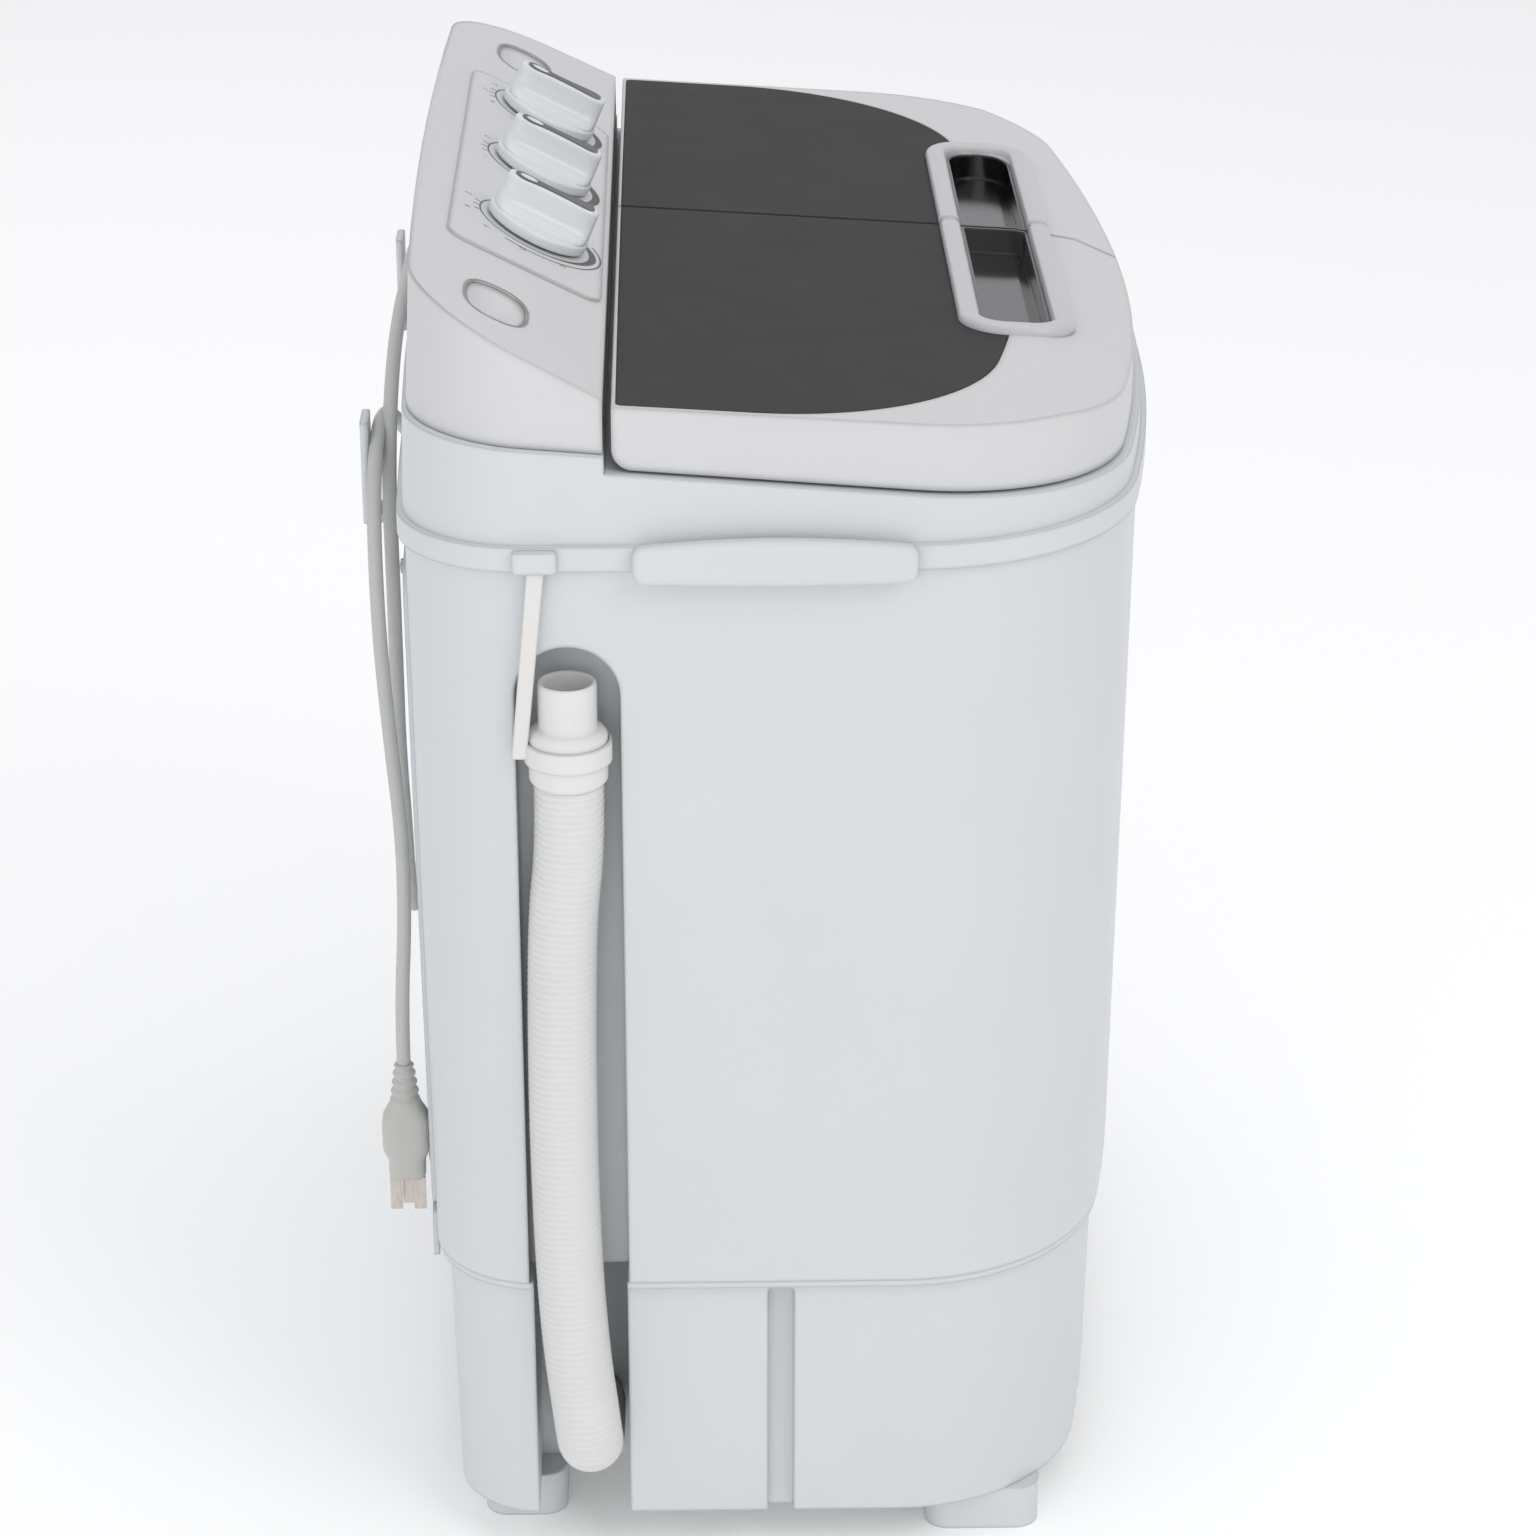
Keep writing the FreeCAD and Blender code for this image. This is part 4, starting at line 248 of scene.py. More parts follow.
def enamel(name, colour, roughness):
    # painted casting: a slight orange peel under the gloss, with dust on it
    finish = Finish(name, colour, roughness)
    finish.wear(colour, 0.15, 18.0)
    peel = finish.noise(420.0, 2.0)
    finish.link(finish.bump(peel, 0.2, 0.0003), finish.shader.inputs["Normal"])
    finish.link(finish.spread(finish.noise(40.0, 5.0), roughness - 0.05, roughness + 0.2),
                finish.shader.inputs["Roughness"])
    return finish.material


def rubber(name, colour, roughness):
    # dull rubber with a dry bloom
    finish = Finish(name, colour, roughness)
    finish.wear(colour, 0.2, 30.0)
    finish.link(finish.bump(finish.noise(1500.0, 2.0), 0.3, 0.0001), finish.shader.inputs["Normal"])
    return finish.material


paint = {
    "shell": (0.609, 0.631, 0.642),
    "lid": (0.607, 0.608, 0.609),
    "window": (0.037, 0.034, 0.035),
    "knob": (0.674, 0.700, 0.715),
    "bezel": (0.520, 0.524, 0.530),
    "black": (0.008, 0.008, 0.009),
    "tub": (0.64, 0.66, 0.68),
    "hose": (0.696, 0.695, 0.685),
    "strap": (0.700, 0.690, 0.668),
    "cord": (0.490, 0.490, 0.476),
    "print": (0.095, 0.095, 0.095),
    "steel": (0.62, 0.62, 0.61),
    "brass": (0.60, 0.54, 0.50),
}
finishes = {
    "shell": mouldedPlastic("cabinetMoulding", paint["shell"], 0.42, drift=0.012, edge=0.003),
    "lid": mouldedPlastic("lidMoulding", paint["lid"], 0.45, drift=0.012, edge=0.005),
    "window": mouldedPlastic("windowSheet", paint["window"], 0.62, grain=0.18, grainSize=1400.0, drift=0.03),
    "knob": mouldedPlastic("knobMoulding", paint["knob"], 0.28, grain=0.05, drift=0.012, coat=0.3),
    "bezel": mouldedPlastic("bezelMoulding", paint["bezel"], 0.3, grain=0.08, drift=0.012, coat=0.2),
    "black": mouldedPlastic("wellGloss", paint["black"], 0.12, grain=0.03, drift=0.1, coat=0.6),
    "tub": mouldedPlastic("tubMoulding", paint["tub"], 0.3, grain=0.08, drift=0.02),
    "hose": mouldedPlastic("hoseMoulding", paint["hose"], 0.5, grain=0.12, drift=0.02),
    "strap": mouldedPlastic("strapWebbing", paint["strap"], 0.55, grain=0.2, drift=0.03),
    "cord": mouldedPlastic("cordJacket", paint["cord"], 0.5, grain=0.2, grainSize=1600.0, drift=0.04),
    "case": mouldedPlastic("timerMoulding", (0.62, 0.60, 0.54), 0.5),
    "print": mouldedPlastic("dialInk", paint["print"], 0.5, grain=0.1, drift=0.05),
    "motor": enamel("motorEnamel", (0.05, 0.055, 0.065), 0.4),
    "rubber": rubber("drivenRubber", (0.02, 0.02, 0.02), 0.75),
    "steel": brushedMetal("axleSteel", paint["steel"], 0.3),
    "pulley": brushedMetal("castPulley", (0.66, 0.67, 0.68), 0.38, (1, 1, 6)),
    "pins": brushedMetal("plugBlade", paint["brass"], 0.28, (4, 4, 1)),
}
windowShader = finishes["window"].node_tree.nodes["Principled BSDF"]
windowShader.inputs["Specular IOR Level"].default_value = 0.2       # a dull, dark sheet
nodeFinish = {
    "shell_plastic": "shell", "lid_plastic": "lid", "window_plastic": "window", "gloss_black": "black",
    "knob_plastic": "knob", "tub_plastic": "tub", "steel": "steel", "motor_paint": "motor",
    "timer_plastic": "case", "belt_rubber": "rubber", "foot_rubber": "shell", "pulley_metal": "pulley",
    "hose_plastic": "hose", "strap_plastic": "strap", "cord_pvc": "cord", "pin_metal": "pins",
}


def dressCadNodes():
    # each node takes the finish of the material slot that its record names
    for part in record["subparts"]:
        body = nodes[part["node"]]
        body.data.materials.clear()
        body.data.materials.append(finishes[nodeFinish[part["material_slot"]]])


dressCadNodes()
print("carried-over pieces dressed")


def putMesh(name, points, faces, finish, body, stands=(), slot=None, smooth=True):
    # a mesh of numbered points and faces that rides on a body and may stand for CAD nodes
    mesh = bpy.data.meshes.new(name)
    mesh.from_pydata(np.asarray(points, dtype=float).tolist(), [], faces)
    mesh.polygons.foreach_set("use_smooth", np.full(len(mesh.polygons), smooth))
    mesh.materials.append(finish)
    piece = bpy.data.objects.new(name, mesh)
    bpy.context.collection.objects.link(piece)
    mesh.update()
    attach(piece, body)
    if stands:
        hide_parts(*stands)
    return piece


def gridFaces(rows, columns, closed):
    # quads between neighbouring rows and columns, the columns joined round when closed
    last = columns if closed else columns - 1
    row, column = np.meshgrid(np.arange(rows - 1), np.arange(last), indexing="ij")
    after = (column + 1) % columns
    here, ahead = row * columns, (row + 1) * columns
    corners = (here + column, here + after, ahead + after, ahead + column)
    return np.stack(corners, axis=-1).reshape(-1, 4)


def cappedTube(rings):
    # rings of equal count joined in order, with each end closed by a fan to its middle
    rows, columns = rings.shape[:2]
    points = np.concatenate([rings.reshape(-1, 3), rings[0].mean(0)[None], rings[-1].mean(0)[None]])
    faces = gridFaces(rows, columns, True).tolist()
    here = np.arange(columns)
    after = (here + 1) % columns
    first, last = rows * columns, rows * columns + 1
    top = (rows - 1) * columns
    faces += np.stack([after, here, np.full(columns, first)], axis=1).tolist()
    faces += np.stack([top + here, top + after, np.full(columns, last)], axis=1).tolist()
    return points, faces


def putRings(name, rings, *rest, **words):
    # a closed tube through the rings, as one piece
    points, faces = cappedTube(rings)
    return putMesh(name, points, faces, *rest, **words)


def turnedRings(profile, axisFoot, matrix, columns):
    # each profile point (radius, height) turned round the local Z axis, then placed by the matrix
    profile = np.asarray(profile, dtype=float)
    angle = np.linspace(0, 2 * math.pi, columns, endpoint=False)
    ring = np.stack([np.cos(angle), np.sin(angle)], axis=1)
    height = np.repeat(profile[:, None, 1:], columns, axis=1)
    local = np.concatenate([profile[:, None, :1] * ring[None], height], axis=2)
    return local @ matrix.T + axisFoot


def ringAt(outline, height):
    # a flat outline raised to one height
    return np.concatenate([outline, np.full((len(outline), 1), height)], axis=1)


def superEllipse(turn, square):
    # how far out |x|^n + |y|^n = 1 lies along each direction
    return (np.abs(np.cos(turn)) ** square + np.abs(np.sin(turn)) ** square) ** (-1 / square)


def softProfile(corners, radius, steps=4):
    # a polyline with its inner corners rounded by short curves of the given reach
    corners = np.asarray(corners, dtype=float)
    out = [corners[0]]
    for before, corner, after in zip(corners, corners[1:], corners[2:]):
        into, away = corner - before, after - corner
        reach = min(radius, 0.45 * np.linalg.norm(into), 0.45 * np.linalg.norm(away))
        first = corner - into / np.linalg.norm(into) * reach
        last = corner + away / np.linalg.norm(away) * reach
        t = np.linspace(0, 1, steps + 1)[:, None]
        out.extend((1 - t) ** 2 * first + 2 * t * (1 - t) * corner + t ** 2 * last)
    out.append(corners[-1])
    return np.array(out)


powerCord = {
    "diameter": 0.007,
    "route": [
        (0.150, 0.1950, 0.2060), (0.150, 0.1950, 0.2410), (0.125, 0.1945, 0.2660), (0.084, 0.1940, 0.2690),
        (0.038, 0.1940, 0.2640), (-0.014, 0.1935, 0.2610), (-0.060, 0.1930, 0.2660),
        (-0.100, 0.1925, 0.2760), (-0.128, 0.1925, 0.3040), (-0.144, 0.1920, 0.3440),
        (-0.154, 0.1930, 0.3900), (-0.161, 0.1925, 0.4360), (-0.168, 0.1920, 0.4840),
        (-0.165, 0.1926, 0.5300), (-0.140, 0.1926, 0.5620), (-0.096, 0.1926, 0.5780),
        (-0.042, 0.1926, 0.5820), (0.012, 0.1926, 0.5790), (0.066, 0.1926, 0.5770),
        (0.112, 0.1926, 0.5710), (0.147, 0.1930, 0.5560), (0.170, 0.1926, 0.5240), (0.166, 0.1920, 0.4840),
        (0.134, 0.1926, 0.4580), (0.088, 0.1936, 0.4640), (0.040, 0.1942, 0.4860),
        (-0.014, 0.1948, 0.5100), (-0.066, 0.1953, 0.5340), (-0.112, 0.1965, 0.5530),
        (-0.150, 0.1980, 0.5580), (-0.179, 0.1990, 0.5360), (-0.187, 0.1990, 0.5000),
        (-0.188, 0.1980, 0.4560), (-0.190, 0.1945, 0.4060), (-0.192, 0.1905, 0.3580),
        (-0.193, 0.1910, 0.3120), (-0.195, 0.1940, 0.2680), (-0.195, 0.1940, 0.2360),
    ],
}
drainHose = {
    "diameter": 0.033,
    "pitch": 0.0034,
    "depth": 0.0011,
    "stepsPerRing": 6,
    "columns": 40,
    "crest": 0.7,               # the lower, the squarer the rings
    "route": [
        (-0.234, 0.101, 0.062), (-0.252, 0.101, 0.062), (-0.279, 0.1015, 0.063), (-0.290, 0.103, 0.088),
        (-0.290, 0.1065, 0.118), (-0.290, 0.1095, 0.160), (-0.290, 0.111, 0.210), (-0.290, 0.1115, 0.262),
        (-0.290, 0.111, 0.316), (-0.290, 0.1095, 0.366), (-0.290, 0.1055, 0.400), (-0.290, 0.1055, 0.432),
    ],
}


def routeCurve(name, route, thickness=0.0):
    # one open smooth spline whose control points are the route's
    curve = bpy.data.curves.new(name, "CURVE")
    curve.dimensions = "3D"
    curve.resolution_u = 12
    spline = curve.splines.new("NURBS")
    spline.points.add(len(route) - 1)
    for point, (x, y, z) in zip(spline.points, route):
        point.co = (x, y + middle, z, 1.0)
    spline.order_u = 3
    spline.use_endpoint_u = True
    if thickness:
        curve.bevel_depth = thickness
        curve.bevel_resolution = 6
        curve.use_fill_caps = True
    piece = bpy.data.objects.new(name, curve)
    bpy.context.collection.objects.link(piece)
    return piece


def curvePoints(piece):
    # the points that the curve is drawn through
    mesh = bpy.data.meshes.new_from_object(piece)
    points = np.empty(len(mesh.vertices) * 3)
    mesh.vertices.foreach_get("co", points)
    return points.reshape(-1, 3)


def pathLength(points):
    # the sum of the distances between neighbours
    return float(np.linalg.norm(np.diff(points, axis=0), axis=1).sum())


def evenPoints(points, step):
    # the path sampled again at even steps along its length
    along = np.concatenate([[0], np.cumsum(np.linalg.norm(np.diff(points, axis=0), axis=1))])
    places = np.linspace(0, along[-1], max(2, int(round(along[-1] / step)) + 1))
    return np.stack([np.interp(places, along, points[:, i]) for i in range(3)], axis=1), places


def pathFrames(points):
    # a side and an up direction along the path that turn as little as they can
    ahead = np.gradient(points, axis=0)
    ahead /= np.linalg.norm(ahead, axis=1)[:, None]
    side = np.empty_like(ahead)
    first = np.cross(ahead[0], (0.0, 1.0, 0.0))
    side[0] = first / np.linalg.norm(first)
    for i in range(1, len(points)):
        flat = side[i - 1] - ahead[i] * (side[i - 1] @ ahead[i])
        side[i] = flat / np.linalg.norm(flat)
    return side, np.cross(ahead, side)


def makePowerCord():
    # the length is measured on the bare line, before the line is given its thickness
    bare = routeCurve("powerCordLine", powerCord["route"])
    length = pathLength(curvePoints(bare))
    bpy.data.objects.remove(bare)
    cord = routeCurve("powerCord", powerCord["route"], powerCord["diameter"] / 2)
    cord.data.materials.append(finishes["cord"])
    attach(cord, "cabinet")
    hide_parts("power_cord")
    print("power cord", round(length, 3), "m")


def makeDrainHose():
    # a ringed tube: the radius swells and narrows with the distance along the path
    line = routeCurve("drainHoseLine", drainHose["route"])
    path = curvePoints(line)
    bpy.data.objects.remove(line)
    points, along = evenPoints(path, drainHose["pitch"] / drainHose["stepsPerRing"])
    side, up = pathFrames(points)
    phase = 2 * math.pi * along / drainHose["pitch"]
    ripple = np.sign(np.cos(phase)) * np.abs(np.cos(phase)) ** drainHose["crest"]
    radius = drainHose["diameter"] / 2 - drainHose["depth"] * (0.5 - 0.5 * ripple)
    angle = np.linspace(0, 2 * math.pi, drainHose["columns"], endpoint=False)
    rings = points[:, None] + radius[:, None, None] * (
        np.cos(angle)[None, :, None] * side[:, None] + np.sin(angle)[None, :, None] * up[:, None])
    hose = putRings("drainHose", rings, finishes["hose"], "cabinet", stands=("drain_hose",),
                    slot="hose_plastic")


knob = {
    "names": ("wash_timer", "wash_selector", "spin_timer"),
    "footBelow": 0.0072,        # from the turning point down to the knob's foot, along its axis
    "skirtRadius": 0.026,
    "skirtHeight": 0.005,
    "skirtColumns": 96,
    "gripLength": 0.0252,
    "gripTopLength": 0.0240,
    "gripWidth": 0.0062,
    "flare": 0.0125,            # how much wider each side is where it meets the skirt
    "flareHeight": 0.0034,
    "height": 0.0215,
    "edge": 0.0016,             # rounding of the grip's top, and how much each side leans in
    "gripColumns": 144,
    "inlayLift": 0.0004,
    "inlayRows": 80,
    "inlayLanes": 5,
    # distance along the bar from its middle, and half width: a round head at the rear, a waist, and a fuller
    # round end at the front
    "inlay": [(0.0212, 0.0001), (0.0208, 0.0024), (0.0196, 0.0042), (0.0176, 0.0053), (0.0150, 0.0054),
              (0.0126, 0.0050), (0.0100, 0.0043), (0.0070, 0.0037), (0.0035, 0.0035), (0.000, 0.0036),
              (-0.004, 0.0040), (-0.008, 0.0045), (-0.012, 0.0051), (-0.0155, 0.0054), (-0.0182, 0.0052),
              (-0.0200, 0.0042), (-0.0210, 0.0026), (-0.0213, 0.0001)],
    "eye": (0.0032, 0.0046),    # half sizes of the pale eye
    "eyeAlong": 0.0142,
    "eyeLift": 0.00012,
    "eyePoints": 40,
}
dialPrint = {
    "below": 0.00114,           # the plate's face under the knob's foot
    "ring": 0.0292,
    "line": 0.0009,
}


def panelMatrix(name):
    # columns: along the object's length, up the panel's slope, and out of the panel
    out = -Vector(joints[name + "_turn"]["axis"]).normalized()
    across = Vector((1, 0, 0))
    return np.array([across, out.cross(across), out]).T


def dialMatrix(name):
    # the panel's directions, and the middle of the knob's foot under its turning point
    matrix = panelMatrix(name)
    foot = np.array(joints[name + "_turn"]["pos_m"]) - knob["footBelow"] * matrix[:, 2]
    return matrix, foot


def placed(points, matrix, foot):
    # local points turned by the matrix and moved to the foot
    return np.asarray(points) @ matrix.T + foot


def gripOutline(length, width, angle):
    # the distance out is the smaller of a circle's and a bar's, blended with a high power for soft corners
    power = 9
    bar = width / np.maximum(np.abs(np.cos(angle)), 1e-4)
    reach = (length ** -power + bar ** -power) ** (-1 / power)
    return np.stack([reach * np.cos(angle), reach * np.sin(angle)], axis=-1)


def makeKnob(name):
    # a turned skirt, then grip rings whose width falls as the exponential of their height, with a rounded top
    matrix, foot = dialMatrix(name)
    body = name + "_dial"
    outer, deep, edge, top = knob["skirtRadius"], knob["skirtHeight"], knob["edge"], knob["height"]
    skirt = softProfile([(0, 0), (outer - 0.0006, 0), (outer, 0.0008), (outer, deep - 0.0002),
                         (outer - 0.0022, deep + 0.0006), (0.001, deep + 0.0009)], 0.0015)
    putRings(name + "Skirt", turnedRings(skirt, foot, matrix, knob["skirtColumns"]), finishes["knob"], body,
             stands=(name + "_knob",), slot="knob_plastic")
    angle = np.linspace(0, 2 * math.pi, knob["gripColumns"], endpoint=False)
    heights = np.concatenate([np.linspace(0, 0.0082, 14), np.linspace(0.0095, top - 0.0022, 8)])
    rings = []
    for h in heights:
        share = h / top
        length = knob["gripLength"] + (knob["gripTopLength"] - knob["gripLength"]) * share
        width = knob["gripWidth"] + knob["flare"] * math.exp(-h / knob["flareHeight"]) + edge * (1 - share)
        rings.append((length, width, deep + h * (1 - deep / top)))
    length, width, z = rings[-1]
    for turn in np.linspace(0, math.pi / 2, 7)[1:]:
        inset = edge * (1 - math.cos(turn))
        rings.append((length - inset, width - inset, z + (top - z) * math.sin(turn)))
    rings.append((length * 0.7, width * 0.5, top))
    shape = np.array([ringAt(gripOutline(long, wide, angle), z) for long, wide, z in rings])
    putRings(name + "Grip", placed(shape, matrix, foot), finishes["knob"], body, slot="knob_plastic")
    makeInlay(name, matrix, foot, body)


def makeInlay(name, matrix, foot, body):
    # a flat sheet over the grip, as wide at each place as its outline says, with a pale oval eye on it
    along, half = np.array(knob["inlay"]).T
    rows, lanes = knob["inlayRows"], knob["inlayLanes"]
    fine = np.linspace(0, len(along) - 1, rows)
    y = np.interp(fine, np.arange(len(along)), along)
    w = np.interp(fine, np.arange(len(along)), half)
    z = knob["height"] + knob["inlayLift"]
    points = np.stack([np.outer(w, np.linspace(-1, 1, lanes)), np.repeat(y[:, None], lanes, 1),
                       np.full((rows, lanes), z)], axis=-1)
    putMesh(name + "Inlay", placed(points.reshape(-1, 3), matrix, foot), gridFaces(rows, lanes, False).tolist(),
            finishes["inlay"], body)
    angle = np.linspace(0, 2 * math.pi, knob["eyePoints"], endpoint=False)
    halfWide, halfLong = knob["eye"]
    oval = np.stack([halfWide * np.cos(angle), knob["eyeAlong"] + halfLong * np.sin(angle)], axis=1)
    putMesh(name + "InlayEye", placed(ringAt(oval, z + knob["eyeLift"]), matrix, foot),
            [list(range(knob["eyePoints"]))], finishes["knob"], body)


def band(inner, outer, start, end, steps=72):
    # a flat ring part out to a radius that is a number or a function of the angle
    angle = np.radians(np.linspace(start, end, steps))
    far = np.array([outer(a) if callable(outer) else outer for a in angle])
    ring = np.stack([np.full(steps, inner), far], axis=1)
    points = np.stack([ring * np.cos(angle)[:, None], ring * np.sin(angle)[:, None], np.zeros((steps, 2))],
                      axis=-1)
    return points.reshape(-1, 3), gridFaces(steps, 2, False)


def makeDialPrint(name, bands, numbers):
    # flat rings and ticks in one sheet, and numbers that stand at an angle and a radius round the knob
    matrix, foot = dialMatrix(name)
    points, faces, count = [], [], 0
    for spot, quads in bands:
        points.append(spot)
        faces += (quads + count).tolist()
        count += len(spot)
    sunk = np.array([0, 0, -dialPrint["below"]])
    putMesh(name + "Print", placed(np.concatenate(points) + sunk, matrix, foot), faces, finishes["print"],
            "cabinet", smooth=False)
    for text, angle, radius, size in numbers:
        letters = bpy.data.curves.new(name + "Number" + text, "FONT")
        letters.body = text
        letters.size = size
        letters.align_x = "CENTER"
        letters.align_y = "CENTER"
        words = bpy.data.objects.new(name + "Number" + text, letters)
        bpy.context.collection.objects.link(words)
        mesh = bpy.data.meshes.new_from_object(words)
        bpy.data.objects.remove(words)
        flat = np.empty(len(mesh.vertices) * 3)
        mesh.vertices.foreach_get("co", flat)
        turn = math.radians(angle)
        flat = flat.reshape(-1, 3) + (radius * math.cos(turn), radius * math.sin(turn), -dialPrint["below"])
        quads = [list(face.vertices) for face in mesh.polygons]
        putMesh(name + "Number" + text, placed(flat, matrix, foot), quads, finishes["print"], "cabinet",
                smooth=False)


def swelling(base, more, centre=-90.0, spread=50.0):
    # a radius that grows by up to more near the centre angle
    return lambda a: base + more * math.exp(-((math.degrees(a) - centre) / spread) ** 2)


finishes["inlay"] = mouldedPlastic("knobInlay", (0.095, 0.095, 0.097), 0.4, grain=0.1, drift=0.04, edge=0.0004)
ring, line = dialPrint["ring"], dialPrint["line"]
for name in knob["names"]:
    makeKnob(name)
circle = band(ring, ring + line, -250, 110, 120)
crescent = band(ring + line, swelling(ring + line, 0.0030), -170, -10)
ticks = [band(ring + 0.001, ring + 0.0042, spot - 0.8, spot + 0.8, 3) for spot in (78, 90, 102)]
washArc = band(ring + 0.0058, ring + 0.0068, -205, -60, 60)
washEnd = band(ring + 0.0058, ring + 0.0074, -45, 25, 40)
selectorArc = band(ring + 0.0034, ring + 0.0042, -150, -30)
makeDialPrint("wash_timer", [circle, crescent, washArc, washEnd, *ticks],
              [(text, 205 - 33 * i, ring + 0.0085, 0.0048) for i, text in enumerate(("15", "12", "9", "6", "3"))])
makeDialPrint("wash_selector", [circle, crescent, selectorArc, *ticks],
              [(text, angle, ring + 0.0062, 0.0044) for text, angle in (("1", 120), ("2", 60))])
makeDialPrint("spin_timer", [circle, crescent, *ticks],
              [(text, 150 - 30 * i, ring + 0.0062, 0.0044) for i, text in enumerate(("5", "4", "3", "2", "1"))])
print("knobs and print made")

inlet = {
    "half": (0.0236, 0.0160),
    "square": 2.5,              # 2 is an oval, more is squarer
    "aboveBox": 0.0076,         # from the middle of the cup to the panel's face
    # share of the half sizes, and height over the panel, from the underside over the lip and down into the bowl
    "profile": [(0.01, -0.0100), (0.60, -0.0090), (0.90, -0.0030), (0.93, -0.0004), (1.04, 0.0000),
                (1.05, 0.0002), (1.02, 0.00025), (0.98, 0.0001), (0.92, -0.0006), (0.84, -0.0017),
                (0.72, -0.0034), (0.55, -0.0056), (0.35, -0.0074), (0.15, -0.0083), (0.01, -0.0085)],
}
bezel = {
    "rearEdge": -0.082,
    "frontEdge": -0.139,
    "ends": (-0.150, 0.180),
    "corner": 0.022,
    "split": 0.00125,           # half the seam between the two halves
    "straightSteps": 30,
    "turnSteps": 14,
    # distance in from the outer edge, and height over the lid
    "section": [(0.0, -0.0018), (0.0001, 0.0008), (0.0007, 0.0025), (0.0020, 0.0038), (0.0040, 0.0044),
                (0.0065, 0.0045), (0.0088, 0.0041), (0.0102, 0.0032), (0.0109, 0.0018), (0.0111, 0.0),
                (0.0111, -0.0030), (0.0095, -0.0030), (0.0095, -0.0018)],
}
lidTop = {
    "slope": 0.065,
    "rear": 0.0835,
    "height": 0.614,
}
plugShape = {
    # height over the plug's foot, half width, half thickness and how square the section is
    "rings": [(0.0, 0.0001, 0.0001, 3), (0.0002, 0.0084, 0.0060, 3.5), (0.0016, 0.0092, 0.0068, 3.5),
              (0.0110, 0.0094, 0.0070, 3.5), (0.0150, 0.0112, 0.0082, 3.8), (0.0185, 0.0120, 0.0088, 4),
              (0.0300, 0.0120, 0.0090, 4), (0.0345, 0.0116, 0.0088, 4), (0.0385, 0.0098, 0.0080, 3.2),
              (0.0415, 0.0082, 0.0074, 2.6), (0.0438, 0.0076, 0.0072, 2.2)],
    "reliefLong": 0.0200,
    "reliefRings": 4,
    "reliefSteps": 60,
    "reliefFoot": 0.0070,       # radius where it leaves the moulding
    "reliefTip": 0.0045,
    "ridge": 0.0007,
    "plainFrom": 0.97,          # share of the relief above which it has no ridges
}


def roundedRing(halfLong, halfWide, square, count=72):
    # |x/a|^n + |y/b|^n = 1
    turn = np.linspace(0, 2 * math.pi, count, endpoint=False)
    reach = superEllipse(turn, square)
    return np.stack([halfLong * reach * np.cos(turn), halfWide * reach * np.sin(turn)], axis=1)


def makeInlet(name):
    # one outline, grown and lowered by each step of the profile
    matrix = panelMatrix("wash_timer")
    centre = (low(name) + high(name)) / 2 + matrix[:, 2] * inlet["aboveBox"]
    profile = softProfile(inlet["profile"], 0.002)
    outline = roundedRing(*inlet["half"], inlet["square"])
    rings = np.stack([ringAt(outline * share, height) for share, height in profile])
    putRings(name + "Scoop", placed(rings, matrix, centre), finishes["lid"], "cabinet", stands=(name,),
             slot="lid_plastic")


def lidHeight(y):
    # the lids' flat top falls evenly towards the front; y is counted from the cabinet's middle
    return lidTop["height"] + (y - lidTop["rear"]) * lidTop["slope"]


def makeBezel(prefix, side, seam):
    # half of a rounded bar's outline from the seam, round its end and back, with a section carried along it
    radius = bezel["corner"]
    end = bezel["ends"][0 if side < 0 else 1]
    start = seam + side * bezel["split"]
    rear, front = bezel["rearEdge"] - radius, bezel["frontEdge"] + radius
    count, bend = bezel["straightSteps"], bezel["turnSteps"] - 1
    turn = np.linspace(math.pi / 2, 0, bend + 1)[1:]
    straight = np.linspace(start, end - side * radius, count)
    corner = end - side * radius
    centres = np.concatenate([
        np.stack([straight, np.full(count, rear)], 1), np.tile([corner, rear], (bend, 1)),
        np.tile([corner, front], (bend, 1)), np.stack([straight[::-1], np.full(count, front)], 1)])
    angle = np.concatenate([np.full(count, math.pi / 2), turn, -turn[::-1], np.full(count, -math.pi / 2)])
    outward = np.stack([side * np.cos(angle), np.sin(angle)], axis=1)
    inset, height = np.array(softProfile(bezel["section"], 0.0008)).T
    flat = centres[:, None] + (radius - inset)[None, :, None] * outward[:, None]
    z = lidHeight(flat[..., 1]) + height[None]
    rings = np.stack([flat[..., 0], flat[..., 1] + middle, z], axis=-1)
    rings = rings if side < 0 else rings[:, ::-1]
    putRings(prefix + "Bezel", rings, finishes["bezel"], prefix + "_lid", stands=(prefix + "_lid_grip",),
             slot="knob_plastic")


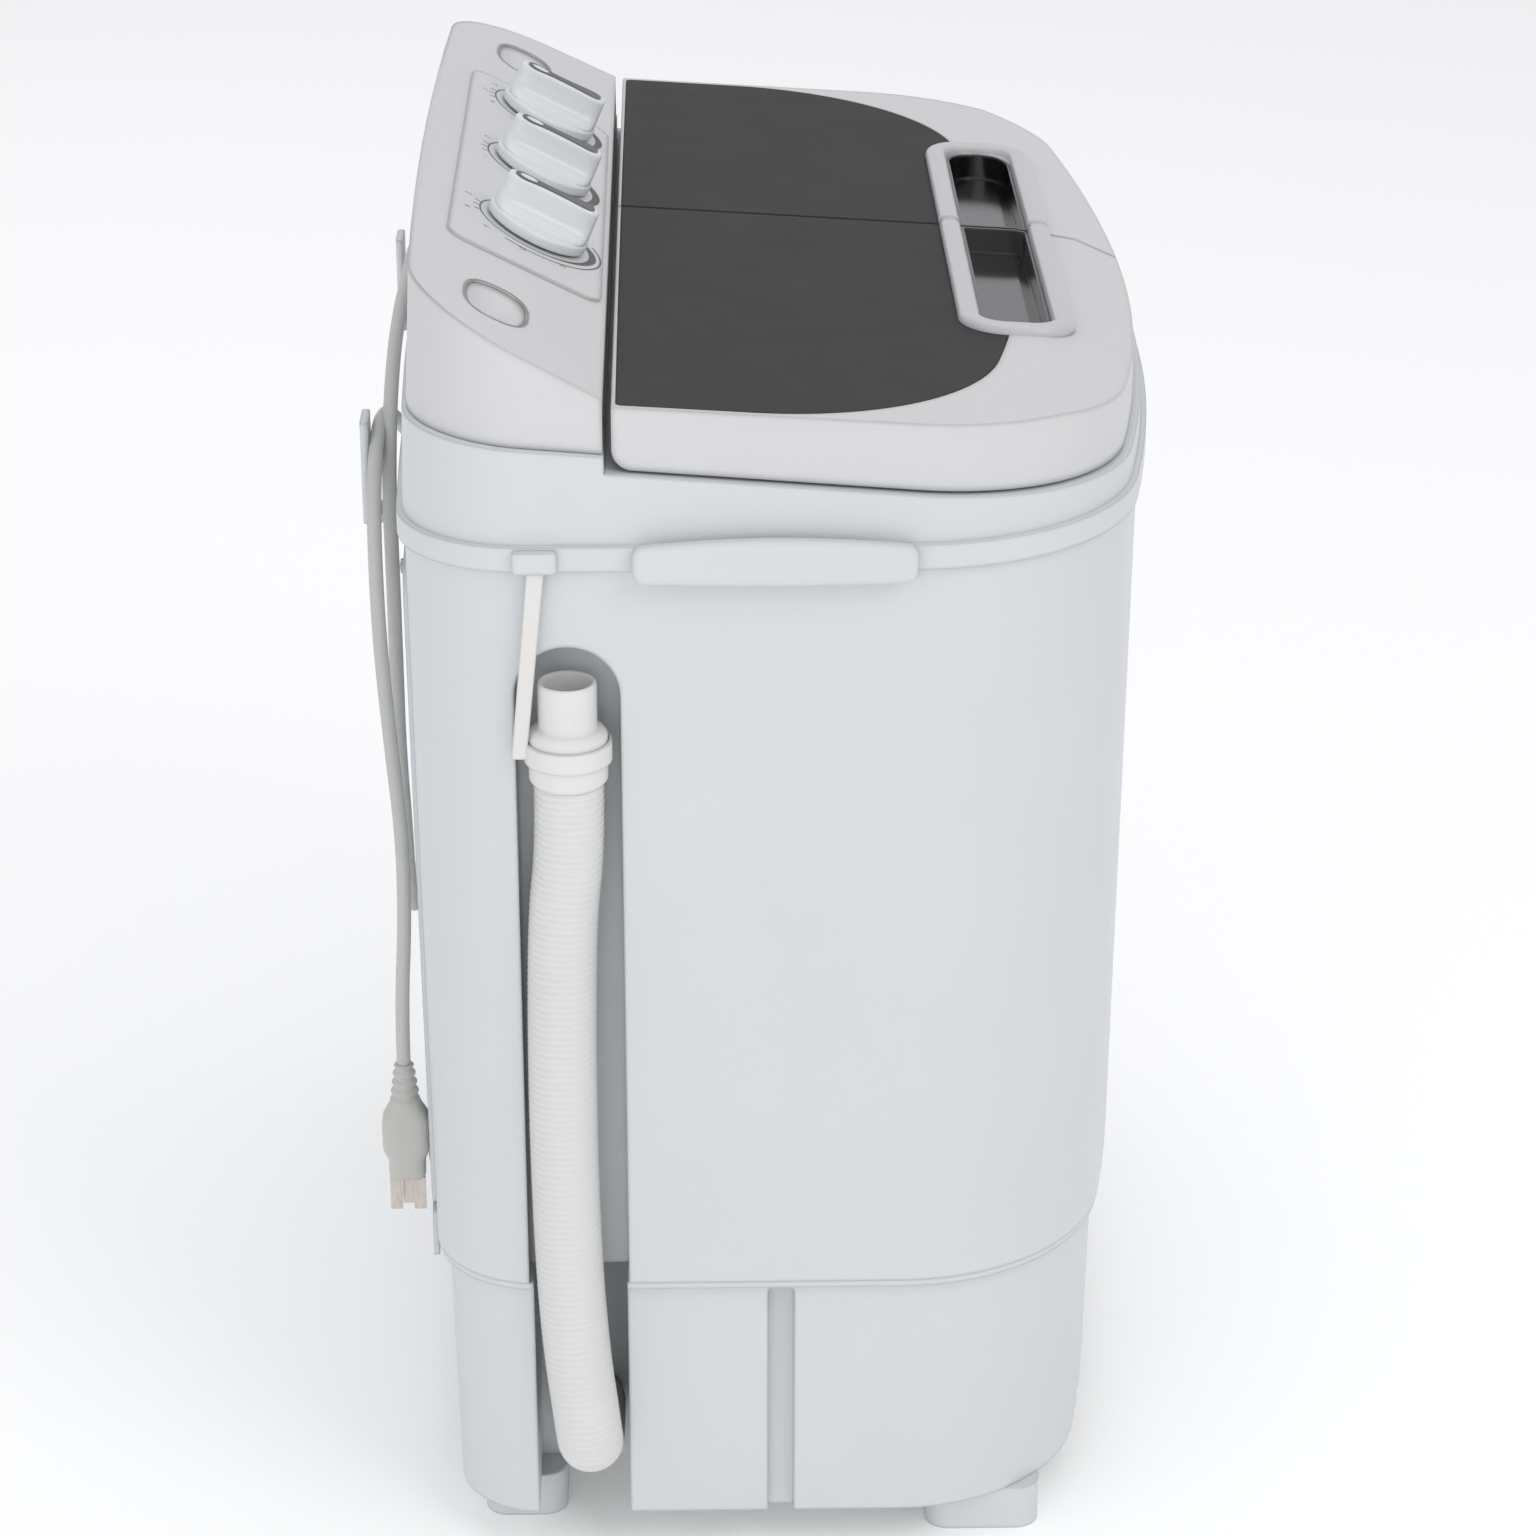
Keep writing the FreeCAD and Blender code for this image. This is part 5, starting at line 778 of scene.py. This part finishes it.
def makePlug():
    # rings up the moulding, then ridges up the strain relief
    small, large = low("power_plug"), high("power_plug")
    rings = [ringAt(roundedRing(thick, wide, square), small[2] + up)
             for up, wide, thick, square in plugShape["rings"]]
    foot, long = large[2] - plugShape["reliefLong"], plugShape["reliefLong"]
    for share in np.linspace(0.02, 1, plugShape["reliefSteps"]):
        ridge = plugShape["ridge"] * math.cos(2 * math.pi * share * plugShape["reliefRings"])
        if share >= plugShape["plainFrom"]:
            ridge = 0
        radius = plugShape["reliefFoot"] + (plugShape["reliefTip"] - plugShape["reliefFoot"]) * share + ridge
        rings.append(ringAt(roundedRing(radius, radius, 2), foot + long * share))
    shape = np.array(rings) + ((small[0] + large[0]) / 2, (small[1] + large[1]) / 2, 0)
    return putRings("plugMoulding", shape, finishes["plug"], "cabinet", stands=("power_plug",), slot="cord_pvc")


finishes["plug"] = mouldedPlastic("plugMoulding", (0.500, 0.500, 0.470), 0.5, grain=0.2, drift=0.03, edge=0.001)
seamMiddle = (high("wash_lid_frame")[0] + low("spin_lid_frame")[0]) / 2
makeInlet("water_inlet_left")
makeInlet("water_inlet_right")
makeBezel("wash", -1, seamMiddle)
makeBezel("spin", 1, seamMiddle)
plug = makePlug()
print("inlets, bezels and plug made")

hoseEnd = {
    "place": (-0.290, 0.1055 + middle, 0.0),
    "profile": [(0.0002, 0.4322), (0.0160, 0.4322), (0.0184, 0.4348), (0.0184, 0.4455), (0.0181, 0.4461),
                (0.0184, 0.4467), (0.0184, 0.4572), (0.0160, 0.4600), (0.0139, 0.4604), (0.0137, 0.4625),
                (0.0137, 0.4812), (0.0132, 0.4828), (0.0122, 0.4830), (0.0115, 0.4815), (0.0112, 0.4420),
                (0.0002, 0.4420)],
}
handle = {
    "low": 0.533,
    "high": 0.555,
    "arch": 0.0035,
    "bow": 0.0012,
    "endRound": 0.006,
    "endSteps": 7,
    "steps": 40,
    "square": 6.0,
}
cuffRings = turnedRings(softProfile(hoseEnd["profile"], 0.0009), np.array(hoseEnd["place"]), np.eye(3), 72)
hoseCuff = putRings("hoseCuff", cuffRings, finishes["hose"], "cabinet", stands=("hose_cuff",), slot="hose_plastic")


def makeHandle(name, node):
    # a bar whose top rises and bottom dips towards the middle by a half wave of its length
    small, large = low(node), high(node)
    out = np.sign(small[0] + large[0])
    inner, outer = sorted((abs(small[0]), abs(large[0])))
    long, tip, steps = large[1] - small[1], handle["endRound"], handle["steps"]
    fine = np.linspace(0, tip, handle["endSteps"])
    places = np.concatenate([fine[:-1], np.linspace(tip, long - tip, steps), long - tip + fine[1:]])
    turn = np.linspace(0, 2 * math.pi, steps, endpoint=False)
    shape = superEllipse(turn, handle["square"])
    depth = (outer - inner) / 2
    rings = []
    for along in places:
        wave = math.sin(math.pi * (along / long))
        fromEnd = min(along, long - along)
        shrink = tip - math.sqrt(max(0, tip ** 2 - (tip - min(fromEnd, tip)) ** 2))
        top = handle["high"] - handle["arch"] * (1 - wave) - shrink * 0.6
        bottom = handle["low"] + handle["bow"] * (1 - wave) + shrink * 0.8
        x = inner + depth + (depth - shrink * 0.25) * shape * np.cos(turn) * 0.999
        z = (top + bottom) / 2 + (top - bottom) / 2 * shape * np.sin(turn)
        rings.append(np.stack([out * np.maximum(x, inner), np.full(steps, small[1] + along), z], axis=1))
    putRings(name, np.array(rings), finishes["shell"], "cabinet", stands=(node,), slot="shell_plastic")


makeHandle("leftHandle", "carry_handle_left")
makeHandle("rightHandle", "carry_handle_right")
makePowerCord()
makeDrainHose()
print("handles, hose and cord made")
